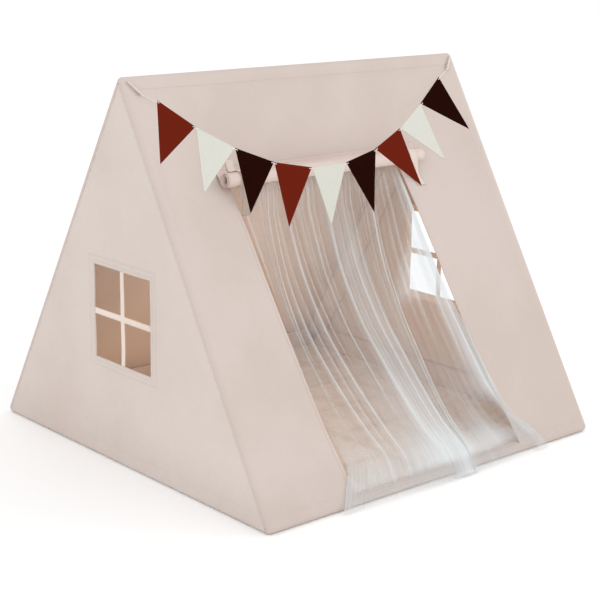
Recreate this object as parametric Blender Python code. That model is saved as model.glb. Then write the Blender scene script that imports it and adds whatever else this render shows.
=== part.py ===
"""Play tent with a steep two-slope roof, a square plan, two lattice windows and an open doorway.

X runs along the ridge, the doorway is in the slope that faces -Y, and +Z is up.
The origin is the centre of the footprint on the floor. Units are metres.

The hardest feature is the front slope: one closed cloth that sags between its poles, wraps the
base pole, both leg poles and the ridge pole, and keeps clear of the rolled door flap in front of it.
"""

import math

import bmesh
import bpy
import numpy as np
from mathutils import Matrix, Vector

# Overall shape: the tent as a sharp prism, and the radius at which cloth runs round a pole
LENGTH = 1.200
SHARP_DEPTH = 1.220
SHARP_HEIGHT = 1.050
WRAP_RADIUS = 0.014
CLOTH = 0.0012

# Clearances between touching pieces
GAP = 0.0003
SEAM_ANGLE = 2.4
LEG_SEAM_ANGLE = 5.0
LIFT_OFF_X = 0.004
LIFT_OFF_S = 0.003

# Frame tubes and fittings
POLE_RADIUS = WRAP_RADIUS - CLOTH - GAP
TUBE_WALL = 0.0015
BORE_RADIUS = POLE_RADIUS - TUBE_WALL
SPIGOT_RADIUS = BORE_RADIUS - GAP
NECK_BORE = SPIGOT_RADIUS - TUBE_WALL
NECK_LENGTH = 0.040
NECK_STEP = (0.001, 0.003)
COLLAR_LENGTH = 0.030
SPIGOT_LENGTH = 0.035
ROUND_STEPS = 20

# Doorway in the front slope: half its width, its sill up the slope from the sharp base line,
# and the cloth left between it and the ridge
DOOR_HALF = 0.310
DOOR_SILL = 0.033
DOOR_HEADER = 0.2652

# Sag of the front cloth at the middle, as (share of the way, depth): from the sill to the
# doorway's head, then from there to the ridge; the power shapes it across the slope
SAG_DEPTH = 0.088
SAG_BESIDE_DOOR = [
    (0.053, 0.08), (0.109, 0.17), (0.187, 0.31), (0.310, 0.47), (0.467, 0.61), (0.636, 0.73),
    (0.804, 0.84), (0.916, 0.955), (0.961, 1.0),
]
SAG_ABOVE_DOOR = [(0.094, 0.955), (0.283, 0.80), (0.471, 0.59), (0.660, 0.375), (0.848, 0.17)]
SAG_POWER = 4.0
REAR_SAG = 0.030

# Gables: half the width of their cut-off tip; their windows
GABLE_TIP = 0.0022
WINDOW_Y = 0.005
WINDOW_Z = 0.4075
WINDOW_WIDTH = 0.252
WINDOW_HEIGHT = 0.255
LATTICE_BAR = 0.017
LATTICE_BORDER = 0.026

# Rolled door flap: its axis below the doorway's head and out from the cloth, how far it goes
# past the doorway's two sides, and its seam above the doorway's head
ROLL_BELOW_TOP = 0.013
ROLL_STANDOFF = 0.038
ROLL_RADIUS = 0.0205
ROLL_PAST_LEFT = 0.036
ROLL_PAST_RIGHT = 0.070
ROLL_TURNS = 4
ROLL_PITCH = 0.0022
FLAP_SEAM_RISE = 0.033
FLAP_SEAM_WIDTH = 0.010
FLAP_BEND = 0.010

# Straps round the roll: their seam above the doorway's head, and how far each lies from a side
# of the doorway, one inside it and one beside it
STRAP_SEAM_RISE = 0.050
STRAP_LEFT_INSIDE = 0.0185
STRAP_RIGHT_BESIDE = 0.0175
STRAP_WIDTH = 0.027
STRAP_CLOTH = 0.0012
STRAP_STEP = (0.004, -0.0045, -0.011)
STRAP_TAIL = 0.095
STRAP_DRIFT = 0.036
STRAP_FALL = [(0.024, 0.0125, 0.11), (0.038, 0.0, 0.28), (0.054, -0.0125, 0.50)]
STRAP_REST = [(0.070, 0.75), (0.086, 1.0)]

# Bunting: how far its flags stop short of the two tape loops, where it starts below the ridge,
# then a turn for each flag
CORD_RUN_LEFT = 0.0400
CORD_RUN_RIGHT = 0.0448
CORD_START_DROP = 0.0636
FLAG_PITCH = 0.127
FLAG_TURN = [-38.3, -31.5, -23.4, -12.2, 0.5, 12.4, 23.4, 31.1, 35.5]
CORD_EASE = 0.006
CORD_DIP = 0.0245
CORD_KNOT = 0.0006
CORD_RADIUS = 0.0010
FLAG_SPACE = 0.002
FLAG_HEIGHT = 0.166
FLAG_FELT = 0.0015
FLAG_LEAN = [-1.5, 3.5, 5.0, 21.5, 26.5, 22.0, 1.0, 4.5, -1.5]
HOLE_DROP = 0.004
HOLE_INSET = 0.007
HOLE_RADIUS = 0.0016

# Tape loops at the ridge ends: upper end in from the leg pole and down from the ridge, then
# how far the loop runs across and down to its lower end
LOOP_IN = 0.004
LOOP_DOWN = 0.0072
LOOP_RUN_X = 0.026
LOOP_RUN_S = 0.033
LOOP_TAPE = 0.0010
LOOP_WIDTH = 0.008
LOOP_DEPTH = 0.0060

# Curtain: its seam above the doorway's head, then rows down to the floor as (share of the
# doorway's rise, out of the slope, middle, past the doorway's sides)
CURTAIN_SEAM_RISE = 0.019
CURTAIN_INSIDE = 0.038
CURTAIN_ROWS = [
    (0.860, -0.140, 0.000, -0.042), (0.692, -0.154, -0.012, -0.044), (0.524, -0.139, -0.008, -0.048),
    (0.367, -0.097, 0.012, -0.038), (0.221, -0.052, 0.018, -0.036), (0.0975, -0.012, 0.030, 0.015),
    (0.019, 0.015, 0.030, 0.056), (-0.0415, 0.020, 0.030, 0.078),
]
CURTAIN_JAMB = 0.020
CURTAIN_HEM_ZONE = 0.030
CURTAIN_SPREAD_ZONE = 0.267
CURTAIN_LIFT = 0.0024
CURTAIN_WANDER = 0.004
CURTAIN_FOLDS = 8
CURTAIN_STEPS = 64
CURTAIN_NET = 0.0012
FOLD_DEPTH = [0.0045, 0.009, 0.011, 0.011, 0.011, 0.010, 0.008, 0.006, 0.005]

# Floor mat
MAT_THICK = 0.012
MAT_CHANNEL = 0.0045
MAT_PADS = 6
MAT_STEPS = 4

# Derived
HALF = LENGTH / 2
SLOPE = math.hypot(SHARP_DEPTH / 2, SHARP_HEIGHT)
UP = Vector((0, SHARP_DEPTH / 2, SHARP_HEIGHT)) / SLOPE
OUT = Vector((0, -SHARP_HEIGHT, SHARP_DEPTH / 2)) / SLOPE
SIDE = Vector((1, 0, 0))
LEAN = math.atan2(SHARP_HEIGHT, SHARP_DEPTH / 2)
BASE_S = WRAP_RADIUS / math.tan(LEAN / 2)
RIDGE_S = SLOPE - WRAP_RADIUS / math.tan(math.pi / 2 - LEAN)
AXIS_X = HALF - WRAP_RADIUS
AXIS_Y = SHARP_DEPTH / 2 - BASE_S
AXIS_Z = WRAP_RADIUS
RIDGE_Z = SHARP_HEIGHT - WRAP_RADIUS / math.cos(LEAN)
FREE_X = AXIS_X - LIFT_OFF_X
DOOR_TOP = RIDGE_S - DOOR_HEADER
DOOR_RISE = DOOR_TOP - DOOR_SILL
SAG_KNOTS = [(BASE_S, 0.0), (DOOR_SILL, 0.0)]
SAG_KNOTS += [(DOOR_SILL + share * DOOR_RISE, deep) for share, deep in SAG_BESIDE_DOOR]
SAG_KNOTS += [(DOOR_TOP, 1.0)]
SAG_KNOTS += [(DOOR_TOP + share * DOOR_HEADER, deep) for share, deep in SAG_ABOVE_DOOR]
SAG_KNOTS += [(RIDGE_S - LIFT_OFF_S, 0.0), (RIDGE_S, 0.0)]
SAG_S = [s for s, _ in SAG_KNOTS]
SAG_A = [deep * SAG_DEPTH for _, deep in SAG_KNOTS]
BESIDE_X = [DOOR_HALF + share * (FREE_X - DOOR_HALF) for share in (0.26, 0.48, 0.70, 0.88)]
FRONT_X = [DOOR_HALF / 2, DOOR_HALF] + BESIDE_X + [FREE_X, AXIS_X]
SAG_X = [-x for x in reversed(FRONT_X)] + [0.0] + FRONT_X
SAG_K = [max(0.0, 1 - abs(x / FREE_X) ** SAG_POWER) for x in SAG_X]


for leftover in list(bpy.data.objects):
    bpy.data.objects.remove(leftover)

SCENE = bpy.context.scene.collection


def material(name, colour, roughness, metallic=0.0):
    made = bpy.data.materials.new(name)
    made.use_nodes = True
    shader = made.node_tree.nodes["Principled BSDF"]
    shader.inputs["Base Color"].default_value = (*colour, 1)
    shader.inputs["Roughness"].default_value = roughness
    shader.inputs["Metallic"].default_value = metallic
    made.diffuse_color = (*colour, 1)
    return made


CANVAS = (0.69, 0.58, 0.50)
CANVAS_SIDE = (0.75, 0.67, 0.61)
LATTICE = (0.72, 0.63, 0.56)
NET = (0.78, 0.76, 0.72)
MAT_CLOTH = (0.72, 0.62, 0.52)
CORD_WHITE = (0.85, 0.83, 0.78)
RUST = (0.147, 0.016, 0.007)
CREAM = (0.73, 0.73, 0.64)
BROWN = (0.017, 0.003, 0.001)
PLASTIC = (0.80, 0.80, 0.78)


def add(name, mesh, colour, roughness):
    made = bpy.data.objects.new(name, mesh)
    mesh.materials.append(material(name, colour, roughness))
    SCENE.objects.link(made)
    return made


def smooth(mesh):
    for face in mesh.polygons:
        face.use_smooth = True


def at(x, s, h):
    """The point x across, s up the front slope and h out of it."""
    return Vector((x, -SHARP_DEPTH / 2, 0)) + UP * s + OUT * h


def sag(x, s):
    return float(np.interp(s, SAG_S, SAG_A) * np.interp(x, SAG_X, SAG_K))


# What lies on the sagging cloth follows its depth there
ROLL_S = DOOR_TOP - ROLL_BELOW_TOP
ROLL_H = ROLL_STANDOFF - sag(0, ROLL_S)
ROLL_X = (-DOOR_HALF - ROLL_PAST_LEFT, DOOR_HALF + ROLL_PAST_RIGHT)
FLAP_SEAM_S = DOOR_TOP + FLAP_SEAM_RISE
STRAP_SEAM_S = DOOR_TOP + STRAP_SEAM_RISE
STRAP_X = (-DOOR_HALF + STRAP_LEFT_INSIDE, DOOR_HALF + STRAP_RIGHT_BESIDE)
LOOP_TOP = (AXIS_X - LOOP_IN, RIDGE_S - LOOP_DOWN)
LOOP_END = (LOOP_TOP[0] - LOOP_RUN_X, LOOP_TOP[1] - LOOP_RUN_S)


def sheet(name, rows, thick, colour, roughness, side=-1.0, missing=(), closed=False):
    """A cloth made from rows of points, given its thickness by Solidify."""
    wide = len(rows[0])
    mesh = bpy.data.meshes.new(name)
    faces = []
    for r in range(len(rows) - 1 + closed):
        below = r * wide
        above = (r + 1) % len(rows) * wide
        for c in range(wide - 1):
            if (r, c) not in missing:
                faces.append((below + c, below + c + 1, above + c + 1, above + c))
    mesh.from_pydata([p for row in rows for p in row], [], faces)
    work = bmesh.new()
    work.from_mesh(mesh)
    bmesh.ops.delete(work, geom=[v for v in work.verts if not v.link_faces], context="VERTS")
    work.to_mesh(mesh)
    work.free()
    smooth(mesh)
    made = add(name, mesh, colour, roughness)
    solid = made.modifiers.new("Thickness", "SOLIDIFY")
    solid.thickness = thick
    solid.offset = side
    return made


def cut(target, cutter, operation="DIFFERENCE"):
    cutter.hide_render = True
    cutter.display_type = "WIRE"
    change = target.modifiers.new(cutter.name, "BOOLEAN")
    change.operation = operation
    change.object = cutter
    change.solver = "EXACT"


def helper_box(name, low, high):
    mesh = bpy.data.meshes.new(name)
    work = bmesh.new()
    bmesh.ops.create_cube(work, size=1)
    low, high = Vector(low), Vector(high)
    for v in work.verts:
        v.co = Vector([(low[i] + high[i]) / 2 + v.co[i] * (high[i] - low[i]) for i in range(3)])
    work.to_mesh(mesh)
    work.free()
    made = bpy.data.objects.new(name, mesh)
    SCENE.objects.link(made)
    return made


# The two slopes: each column is (place across, turn towards the gable), each row is
# (place up the slope, turn towards the floor or the ridge)
def slope_sheet(name, across, up_rows, deep, flip, missing=()):
    turns = [(90 - LEG_SEAM_ANGLE) * k for k in (1, 0.8, 0.6, 0.4, 0.2)]
    columns = [(-AXIS_X, -t) for t in turns] + [(x, 0) for x in across]
    columns += [(AXIS_X, t) for t in reversed(turns)]
    lowest = 180 - math.degrees(LEAN) - SEAM_ANGLE
    highest = math.degrees(LEAN) - SEAM_ANGLE
    rows = [(BASE_S, -lowest * k / 6) for k in range(6, 0, -1)]
    rows += [(s, 0) for s in up_rows]
    rows += [(RIDGE_S, highest * k) for k in (0.33, 0.67, 1)]
    points = []
    for s, turn_s in rows:
        line = []
        for x, turn_x in columns:
            b = math.radians(turn_s)
            a = math.radians(turn_x)
            normal = (OUT * math.cos(b) + UP * math.sin(b)) * math.cos(a) + SIDE * math.sin(a)
            inward = deep(x, s) if not turn_x and not turn_s else 0
            p = at(x, s, -WRAP_RADIUS) + normal * WRAP_RADIUS - OUT * inward
            line.append(Vector((p.x, -p.y, p.z)) if flip else p)
        points.append(line)
    if flip:
        points = [list(reversed(line)) for line in points]
    return sheet(name, points, CLOTH, CANVAS, 0.85, -1.0, missing)


front_across = SAG_X
door_rows = [i for i, s in enumerate(SAG_S[:-1]) if DOOR_SILL <= s < DOOR_TOP]
door_columns = [i for i, x in enumerate(SAG_X[:-1]) if -DOOR_HALF <= x < DOOR_HALF]
door_faces = {(r + 6, c + 5) for r in door_rows for c in door_columns}
cover_front = slope_sheet("cover_front", front_across, SAG_S, sag, False, door_faces)

rear_across = [-AXIS_X] + [FREE_X * k for k in (-1, -0.86, -0.62, -0.31, 0, 0.31, 0.62, 0.86, 1)] + [AXIS_X]
rear_rows = [BASE_S, BASE_S + LIFT_OFF_S]
rear_rows += [BASE_S + (RIDGE_S - BASE_S) * k for k in (0.065, 0.19, 0.365, 0.537, 0.708, 0.863, 0.948)]
rear_rows += [RIDGE_S - LIFT_OFF_S, RIDGE_S]


def rear_sag(x, s):
    along = (s - BASE_S - LIFT_OFF_S) / (RIDGE_S - BASE_S - 2 * LIFT_OFF_S)
    across = max(0.0, 1 - abs(x / FREE_X) ** 3)
    return REAR_SAG * across * math.sin(math.pi * min(max(along, 0), 1))


slope_sheet("cover_rear", rear_across, rear_rows, rear_sag, True)


# Gables: a flat triangle that carries on round the base pole, with a square window cut in it
def gable(name, sign):
    edge = AXIS_Y - 2 * GAP
    tip = GABLE_TIP
    spread = [edge * k / 6 for k in range(-6, 7)]
    rows = []
    for turn in (88.5, 66, 44, 22, 0):
        b = math.radians(turn)
        x = sign * (AXIS_X + WRAP_RADIUS * math.cos(b))
        z = AXIS_Z - WRAP_RADIUS * math.sin(b)
        rows.append([Vector((x, y, z)) for y in spread])
    mesh = bpy.data.meshes.new(name)
    work = bmesh.new()
    grid = [[work.verts.new(p) for p in row] for row in rows]
    for low, high in zip(grid, grid[1:]):
        for c in range(len(spread) - 1):
            work.faces.new((low[c], low[c + 1], high[c + 1], high[c]))
    near_top = RIDGE_Z - tip * RIDGE_Z / AXIS_Y
    ends = [work.verts.new((sign * HALF, y, near_top)) for y in (tip, -tip)]
    work.faces.new(list(grid[-1]) + ends)
    if sign < 0:
        bmesh.ops.reverse_faces(work, faces=work.faces[:])
    work.to_mesh(mesh)
    work.free()
    made = add(name, mesh, CANVAS_SIDE, 0.85)
    solid = made.modifiers.new("Thickness", "SOLIDIFY")
    solid.thickness = CLOTH
    solid.offset = -1.0
    reach = WRAP_RADIUS
    hole = helper_box(
        name + "_window",
        (sign * HALF - reach, WINDOW_Y - WINDOW_WIDTH / 2, WINDOW_Z - WINDOW_HEIGHT / 2),
        (sign * HALF + reach, WINDOW_Y + WINDOW_WIDTH / 2, WINDOW_Z + WINDOW_HEIGHT / 2),
    )
    cut(made, hole)
    return made


# Window lattice: a stitched patch inside the gable whose two crossing bars leave four panes
def lattice(name, sign):
    inner = HALF - CLOTH - GAP
    half_w = WINDOW_WIDTH / 2
    half_h = WINDOW_HEIGHT / 2
    bar = LATTICE_BAR / 2
    ys = [-half_w - LATTICE_BORDER, -half_w, -bar, bar, half_w, half_w + LATTICE_BORDER]
    zs = [-half_h - LATTICE_BORDER, -half_h, -bar, bar, half_h, half_h + LATTICE_BORDER]
    rows = [[Vector((sign * inner, WINDOW_Y + y, WINDOW_Z + z)) for y in ys] for z in zs]
    panes = {(r, c) for r in (1, 3) for c in (1, 3)}
    if sign < 0:
        rows = [list(reversed(row)) for row in rows]
    return sheet(name, rows, CLOTH, LATTICE, 0.85, -1.0, panes)


for side_name, side_sign in (("left", -1), ("right", 1)):
    gable("cover_gable_" + side_name, side_sign)
    lattice("window_lattice_" + side_name, side_sign)


# Rolled door flap: a tongue sewn to the cover, then a spiral
def roll_path(x):
    points = []
    lift = GAP + CLOTH / 2
    for s in (FLAP_SEAM_S, FLAP_SEAM_S - FLAP_SEAM_WIDTH):
        points.append((s, -sag(x, s) + lift))
    outer = ROLL_RADIUS - CLOTH / 2
    start = (ROLL_S + outer * 0.6, ROLL_H - outer)
    points.append((points[-1][0] - FLAP_BEND, (points[-1][1] * 0.6 + start[1] * 0.4)))
    points.append(start)
    steps = 16
    for k in range(ROLL_TURNS * steps + 1):
        turn = math.radians(-90 - 360 * k / steps)
        r = outer - ROLL_PITCH * k / steps
        points.append((ROLL_S + r * math.cos(turn), ROLL_H + r * math.sin(turn)))
    return points


roll_across = [ROLL_X[0], -DOOR_HALF, -DOOR_HALF / 2, 0.0, DOOR_HALF / 2, DOOR_HALF, ROLL_X[1]]
roll_columns = [[at(x, s, h) for s, h in roll_path(x)] for x in roll_across]
roll_rows = [list(row) for row in zip(*roll_columns)]
sheet("door_roll", roll_rows, CLOTH, CANVAS, 0.85, 0.0)


# Straps: from a seam above the flap, over the roll's front and under it
def strap_point(turn, radius):
    return (ROLL_S + radius * math.cos(turn), ROLL_H + radius * math.sin(turn))


def strap(name, middle, tail_path):
    edges = [middle - STRAP_WIDTH / 2, middle, middle + STRAP_WIDTH / 2]
    hug = ROLL_RADIUS + GAP + STRAP_CLOTH / 2
    columns = []
    for x in edges:
        path = []
        over_flap = GAP + CLOTH + GAP
        lifts = (GAP, 3 * GAP, over_flap + 2 * GAP, over_flap + 5.5 * GAP)
        for s, lift in zip([STRAP_SEAM_S] + [FLAP_SEAM_S + step for step in STRAP_STEP], lifts):
            path.append((s, -sag(x, s) + lift + STRAP_CLOTH / 2))
        for turn in range(24, 236, 15):
            path.append(strap_point(math.radians(turn), hug))
        columns.append([at(x, s, h) for s, h in path])
    sheet("roll_strap_" + name, [list(row) for row in zip(*columns)], STRAP_CLOTH, CREAM, 0.8, 0.0)
    over = hug + STRAP_CLOTH + GAP
    columns = []
    for x in edges:
        path = [(*strap_point(math.radians(turn), over), 0.0) for turn in range(52, 121, 17)]
        path += tail_path(x)
        columns.append([at(x + shift, s, h) for s, h, shift in path])
    sheet("roll_tail_" + name, [list(row) for row in zip(*columns)], STRAP_CLOTH, CREAM, 0.8, 0.0)


def left_tail(x):
    """Hangs straight down in the doorway."""
    s, h = strap_point(math.radians(120), ROLL_RADIUS + 2 * GAP + 1.5 * STRAP_CLOTH)
    return [(s - UP.z * d, h - OUT.z * d, 0.0) for d in [STRAP_TAIL * k for k in (0.21, 0.47, 0.74, 1)]]


def right_tail(x):
    """Falls on the cloth beside the doorway and leans out."""
    path = [(ROLL_S - below, ROLL_H + out, STRAP_DRIFT * share) for below, out, share in STRAP_FALL]
    for below, share in STRAP_REST:
        s = ROLL_S - below
        path.append((s, -sag(x + STRAP_DRIFT * share, s) + 2 * STRAP_CLOTH + 2 * GAP, STRAP_DRIFT * share))
    return path


strap("left", STRAP_X[0], left_tail)
strap("right", STRAP_X[1], right_tail)


# Tape loops: a flat tape doubled back on itself, from the ridge end to the bunting cord
def tape_loop(name, sign):
    top = at(sign * LOOP_TOP[0], LOOP_TOP[1], 0)
    end = at(sign * LOOP_END[0], LOOP_END[1], 0)
    along = (end - top).normalized()
    wide = OUT.cross(along)
    length = (end - top).length
    radius = (LOOP_DEPTH - LOOP_TAPE) / 2
    centre = top + OUT * (GAP + LOOP_TAPE / 2 + radius)
    ring = []
    for turn in range(-90, 91, 30):
        a = math.radians(turn)
        ring.append(along * (length + radius * math.cos(a)) + OUT * radius * math.sin(a))
    for turn in range(90, 271, 30):
        a = math.radians(turn)
        ring.append(along * radius * math.cos(a) + OUT * radius * math.sin(a))
    rows = [[centre + p + wide * w for w in (-LOOP_WIDTH / 2, LOOP_WIDTH / 2)] for p in ring]
    return sheet("tape_loop_" + name, rows, LOOP_TAPE, CREAM, 0.8, 0.0, (), True)


tape_loop("left", -1)
tape_loop("right", 1)


# Bunting: the cord's junctions, then the cord, then the flags that hinge on it
def junctions():
    """Links of one pitch from the first turn to the last, made to fit between the two loops."""
    count = len(FLAG_TURN)
    dips = [CORD_DIP * ((2 * k / count - 1) ** 2 - 1) for k in range(count + 1)]
    links = []
    for turn, dip, after in zip(FLAG_TURN, dips, dips[1:]):
        flat = math.sqrt(FLAG_PITCH ** 2 - (after - dip) ** 2)
        links.append((flat * math.cos(math.radians(turn)), flat * math.sin(math.radians(turn))))
    reach = 2 * LOOP_END[0] - CORD_RUN_LEFT - CORD_RUN_RIGHT
    fit = reach / sum(across for across, _ in links)
    x, s = CORD_RUN_LEFT - LOOP_END[0], RIDGE_S - CORD_START_DROP
    places = [(x, s, dips[0])]
    for (across, up), dip in zip(links, dips[1:]):
        x += across * fit
        s += up
        places.append((x, s, dip))
    return [at(*place) for place in places]


JUNCTIONS = junctions()
LOOP_LIFT = GAP + LOOP_DEPTH / 2


def cord_end(sign):
    """Just past the bend of the tape loop that the cord is tied to."""
    top = at(sign * LOOP_TOP[0], LOOP_TOP[1], 0)
    end = at(sign * LOOP_END[0], LOOP_END[1], 0)
    past = LOOP_DEPTH / 2 + GAP + CORD_KNOT
    return end + (end - top).normalized() * past + OUT * LOOP_LIFT


CORD_ENDS = [cord_end(sign) for sign in (-1, 1)]
ROUTE = [CORD_ENDS[0]] + JUNCTIONS + [CORD_ENDS[1]]


def cord_points():
    """The route with each corner eased."""
    points = [ROUTE[0]]
    for before, here, after in zip(ROUTE, ROUTE[1:], ROUTE[2:]):
        back = here + (before - here).normalized() * CORD_EASE
        on = here + (after - here).normalized() * CORD_EASE
        points += [back, (back + 2 * here + on) / 4, on]
    return points + [ROUTE[-1]]


def cord(name, points, radius):
    curve = bpy.data.curves.new(name, "CURVE")
    curve.dimensions = "3D"
    line = curve.splines.new("POLY")
    line.points.add(len(points) - 1)
    for point, place in zip(line.points, points):
        point.co = (*place, 1)
    curve.bevel_depth = radius
    curve.bevel_resolution = 2
    curve.use_fill_caps = True
    curve.materials.append(material(name, CORD_WHITE, 0.7))
    made = bpy.data.objects.new(name, curve)
    SCENE.objects.link(made)
    return made


bunting = bpy.data.objects.new("bunting_axis", None)
bunting.location = (CORD_ENDS[0] + CORD_ENDS[1]) / 2
SCENE.objects.link(bunting)
cord_object = cord("bunting_cord", cord_points(), CORD_RADIUS)
cord_object.parent = bunting
cord_object.matrix_parent_inverse = Matrix.Translation(-bunting.location)


def flag_outline(width):
    """A triangle with two punched holes, flat on XY, its pivot line on X."""
    curve = bpy.data.curves.new("flag_outline", "CURVE")
    curve.dimensions = "2D"
    curve.fill_mode = "BOTH"
    curve.extrude = FLAG_FELT / 2
    top = HOLE_DROP
    half = width / 2
    shapes = [[(-half, top), (0, top - FLAG_HEIGHT), (half, top)]]
    for sign in (-1, 1):
        centre = sign * (half - HOLE_INSET)
        shapes.append([
            (centre + HOLE_RADIUS * math.cos(a), HOLE_RADIUS * math.sin(a))
            for a in [math.tau * k / 8 for k in range(8)]
        ])
    for shape in shapes:
        line = curve.splines.new("POLY")
        line.points.add(len(shape) - 1)
        line.use_cyclic_u = True
        for point, place in zip(line.points, shape):
            point.co = (*place, 0, 1)
    holder = bpy.data.objects.new("flag_outline", curve)
    SCENE.objects.link(holder)
    bpy.context.view_layer.update()
    mesh = bpy.data.meshes.new_from_object(holder.evaluated_get(bpy.context.evaluated_depsgraph_get()))
    bpy.data.objects.remove(holder)
    work = bmesh.new()
    work.from_mesh(mesh)
    bmesh.ops.remove_doubles(work, verts=work.verts[:], dist=1e-5)
    for v in work.verts:
        v.co.z += CORD_RADIUS + GAP + FLAG_FELT / 2
    bmesh.ops.recalc_face_normals(work, faces=work.faces[:])
    work.to_mesh(mesh)
    work.free()
    return mesh


FLAG_COLOURS = [RUST, CREAM, BROWN] * 3
for k in range(9):
    first, second = JUNCTIONS[k], JUNCTIONS[k + 1]
    chord = (second - first).normalized()
    normal = (OUT - chord * OUT.dot(chord)).normalized()
    down = normal.cross(chord) * -1
    if down.dot(UP) > 0:
        down = -down
    lean = math.radians(FLAG_LEAN[k])
    hang = down * math.cos(lean) - normal * math.sin(lean)
    face = normal * math.cos(lean) + down * math.sin(lean)
    mesh = flag_outline((second - first).length - FLAG_SPACE)
    flag = add(f"flag_{k + 1}", mesh, FLAG_COLOURS[k], 0.95)
    turn = Matrix((chord, -hang, face)).transposed().to_4x4()
    flag.matrix_world = Matrix.Translation((first + second) / 2) @ turn


# Curtain: gathered under the header inside, drawn out over the sill to the floor in front
def curtain_rows():
    places = [(DOOR_TOP + CURTAIN_SEAM_RISE, None, 0.0, DOOR_HALF - CURTAIN_INSIDE)]
    for share, out, middle, past in CURTAIN_ROWS:
        places.append((DOOR_SILL + share * DOOR_RISE, out, middle, DOOR_HALF + past))
    jamb = DOOR_HALF - CURTAIN_JAMB
    rows = []
    for k, (s, out, middle, half) in enumerate(places):
        row = []
        for c in range(CURTAIN_STEPS + 1):
            u = 2 * c / CURTAIN_STEPS - 1
            wave = math.sin(math.tau * CURTAIN_FOLDS * (u + 1) / 2 + 0.35 * k)
            x = middle + half * u + CURTAIN_WANDER * math.sin(5 * u + k)
            depth = FOLD_DEPTH[k]
            if out is None:
                h = -sag(x, s) - CLOTH - GAP - CURTAIN_NET / 2 - depth * (1 - wave)
            else:
                h = out + depth * wave
            if s < DOOR_SILL + CURTAIN_HEM_ZONE:
                h = max(h, -sag(x, s) + CURTAIN_LIFT + CURTAIN_NET / 2)
            elif s < DOOR_SILL + CURTAIN_SPREAD_ZONE:
                # Its edges come out of the doorway before they spread past its sides
                inside = max(0, 0.70 - abs(u)) if half < jamb else max(0, jamb - abs(x))
                h = max(h, -sag(x, s) + CURTAIN_LIFT - 0.5 * inside)
            row.append(at(x, s, h))
        rows.append(row)
    return rows


curtain = sheet("curtain", curtain_rows(), CURTAIN_NET, NET, 0.9, 0.0)


# Floor mat: flat underneath, quilted on top
def floor_mat():
    rim_top = MAT_THICK - MAT_CHANNEL
    pole_side = math.sqrt(POLE_RADIUS ** 2 - (AXIS_Z - rim_top) ** 2)
    half_x = AXIS_X - pole_side - GAP
    half_y = AXIS_Y - pole_side - GAP
    name = "floor_mat"
    mesh = bpy.data.meshes.new(name)
    work = bmesh.new()
    count = MAT_PADS * MAT_STEPS
    top = []
    for r in range(count + 1):
        line = []
        for c in range(count + 1):
            x = -half_x + 2 * half_x * c / count
            y = -half_y + 2 * half_y * r / count
            crown = abs(math.sin(math.pi * MAT_PADS * c / count)) * abs(math.sin(math.pi * MAT_PADS * r / count))
            line.append(work.verts.new((x, y, rim_top + MAT_CHANNEL * math.sqrt(crown))))
        top.append(line)
    for low, high in zip(top, top[1:]):
        for c in range(count):
            work.faces.new((low[c], low[c + 1], high[c + 1], high[c]))
    rim = top[0] + [line[-1] for line in top[1:]] + top[-1][-2::-1] + [line[0] for line in top[-2:0:-1]]
    floor = [work.verts.new((v.co.x, v.co.y, 0)) for v in rim]
    for k, v in enumerate(rim):
        after = (k + 1) % len(rim)
        work.faces.new((v, floor[k], floor[after], rim[after]))
    work.faces.new(list(reversed(floor)))
    bmesh.ops.recalc_face_normals(work, faces=work.faces[:])
    work.to_mesh(mesh)
    work.free()
    return add(name, mesh, MAT_CLOTH, 0.9)


floor_mat()


# Frame: tubes as closed profiles turned by Screw, then the moulded fittings
def turned(name, profile, start, direction):
    mesh = bpy.data.meshes.new(name)
    verts = [(r, 0, z) for r, z in profile]
    edges = [(k, (k + 1) % len(verts)) for k in range(len(verts))]
    mesh.from_pydata(verts, edges, [])
    made = add(name, mesh, PLASTIC, 0.4)
    screw = made.modifiers.new("Turn", "SCREW")
    screw.steps = ROUND_STEPS
    screw.render_steps = ROUND_STEPS
    screw.use_merge_vertices = True
    screw.merge_threshold = 0.0001
    screw.use_smooth_shade = True
    made.rotation_mode = "QUATERNION"
    made.rotation_quaternion = Vector((0, 0, 1)).rotation_difference(direction)
    made.location = start
    return made


def pole(name, one, two):
    """Two plug-in halves between two corner points."""
    axis = (two - one).normalized()
    length = (two - one).length
    near = COLLAR_LENGTH + GAP
    middle = length / 2
    half = middle - near
    turned(name + "_a", [
        (POLE_RADIUS, half), (POLE_RADIUS, 0), (BORE_RADIUS, 0), (BORE_RADIUS, half),
    ], one + axis * near, axis)
    rest = length - near - (middle + GAP)
    turned(name + "_b", [
        (POLE_RADIUS, rest), (POLE_RADIUS, 0), (SPIGOT_RADIUS, 0), (SPIGOT_RADIUS, -NECK_LENGTH),
        (NECK_BORE, -NECK_LENGTH), (NECK_BORE, NECK_STEP[0]), (BORE_RADIUS, NECK_STEP[1]), (BORE_RADIUS, rest),
    ], one + axis * (middle + GAP), axis)


def corner(across, deep):
    if deep == 0:
        return Vector((across * AXIS_X, 0, RIDGE_Z))
    return Vector((across * AXIS_X, deep * AXIS_Y, AXIS_Z))


def cylinder(name, radius, start, direction, length):
    mesh = bpy.data.meshes.new(name)
    work = bmesh.new()
    bmesh.ops.create_cone(
        work, cap_ends=True, segments=ROUND_STEPS, radius1=radius, radius2=radius, depth=length,
        matrix=Matrix.Translation((0, 0, length / 2)),
    )
    work.to_mesh(mesh)
    work.free()
    made = bpy.data.objects.new(name, mesh)
    SCENE.objects.link(made)
    made.rotation_mode = "QUATERNION"
    made.rotation_quaternion = Vector((0, 0, 1)).rotation_difference(direction)
    made.location = start
    return made


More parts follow.
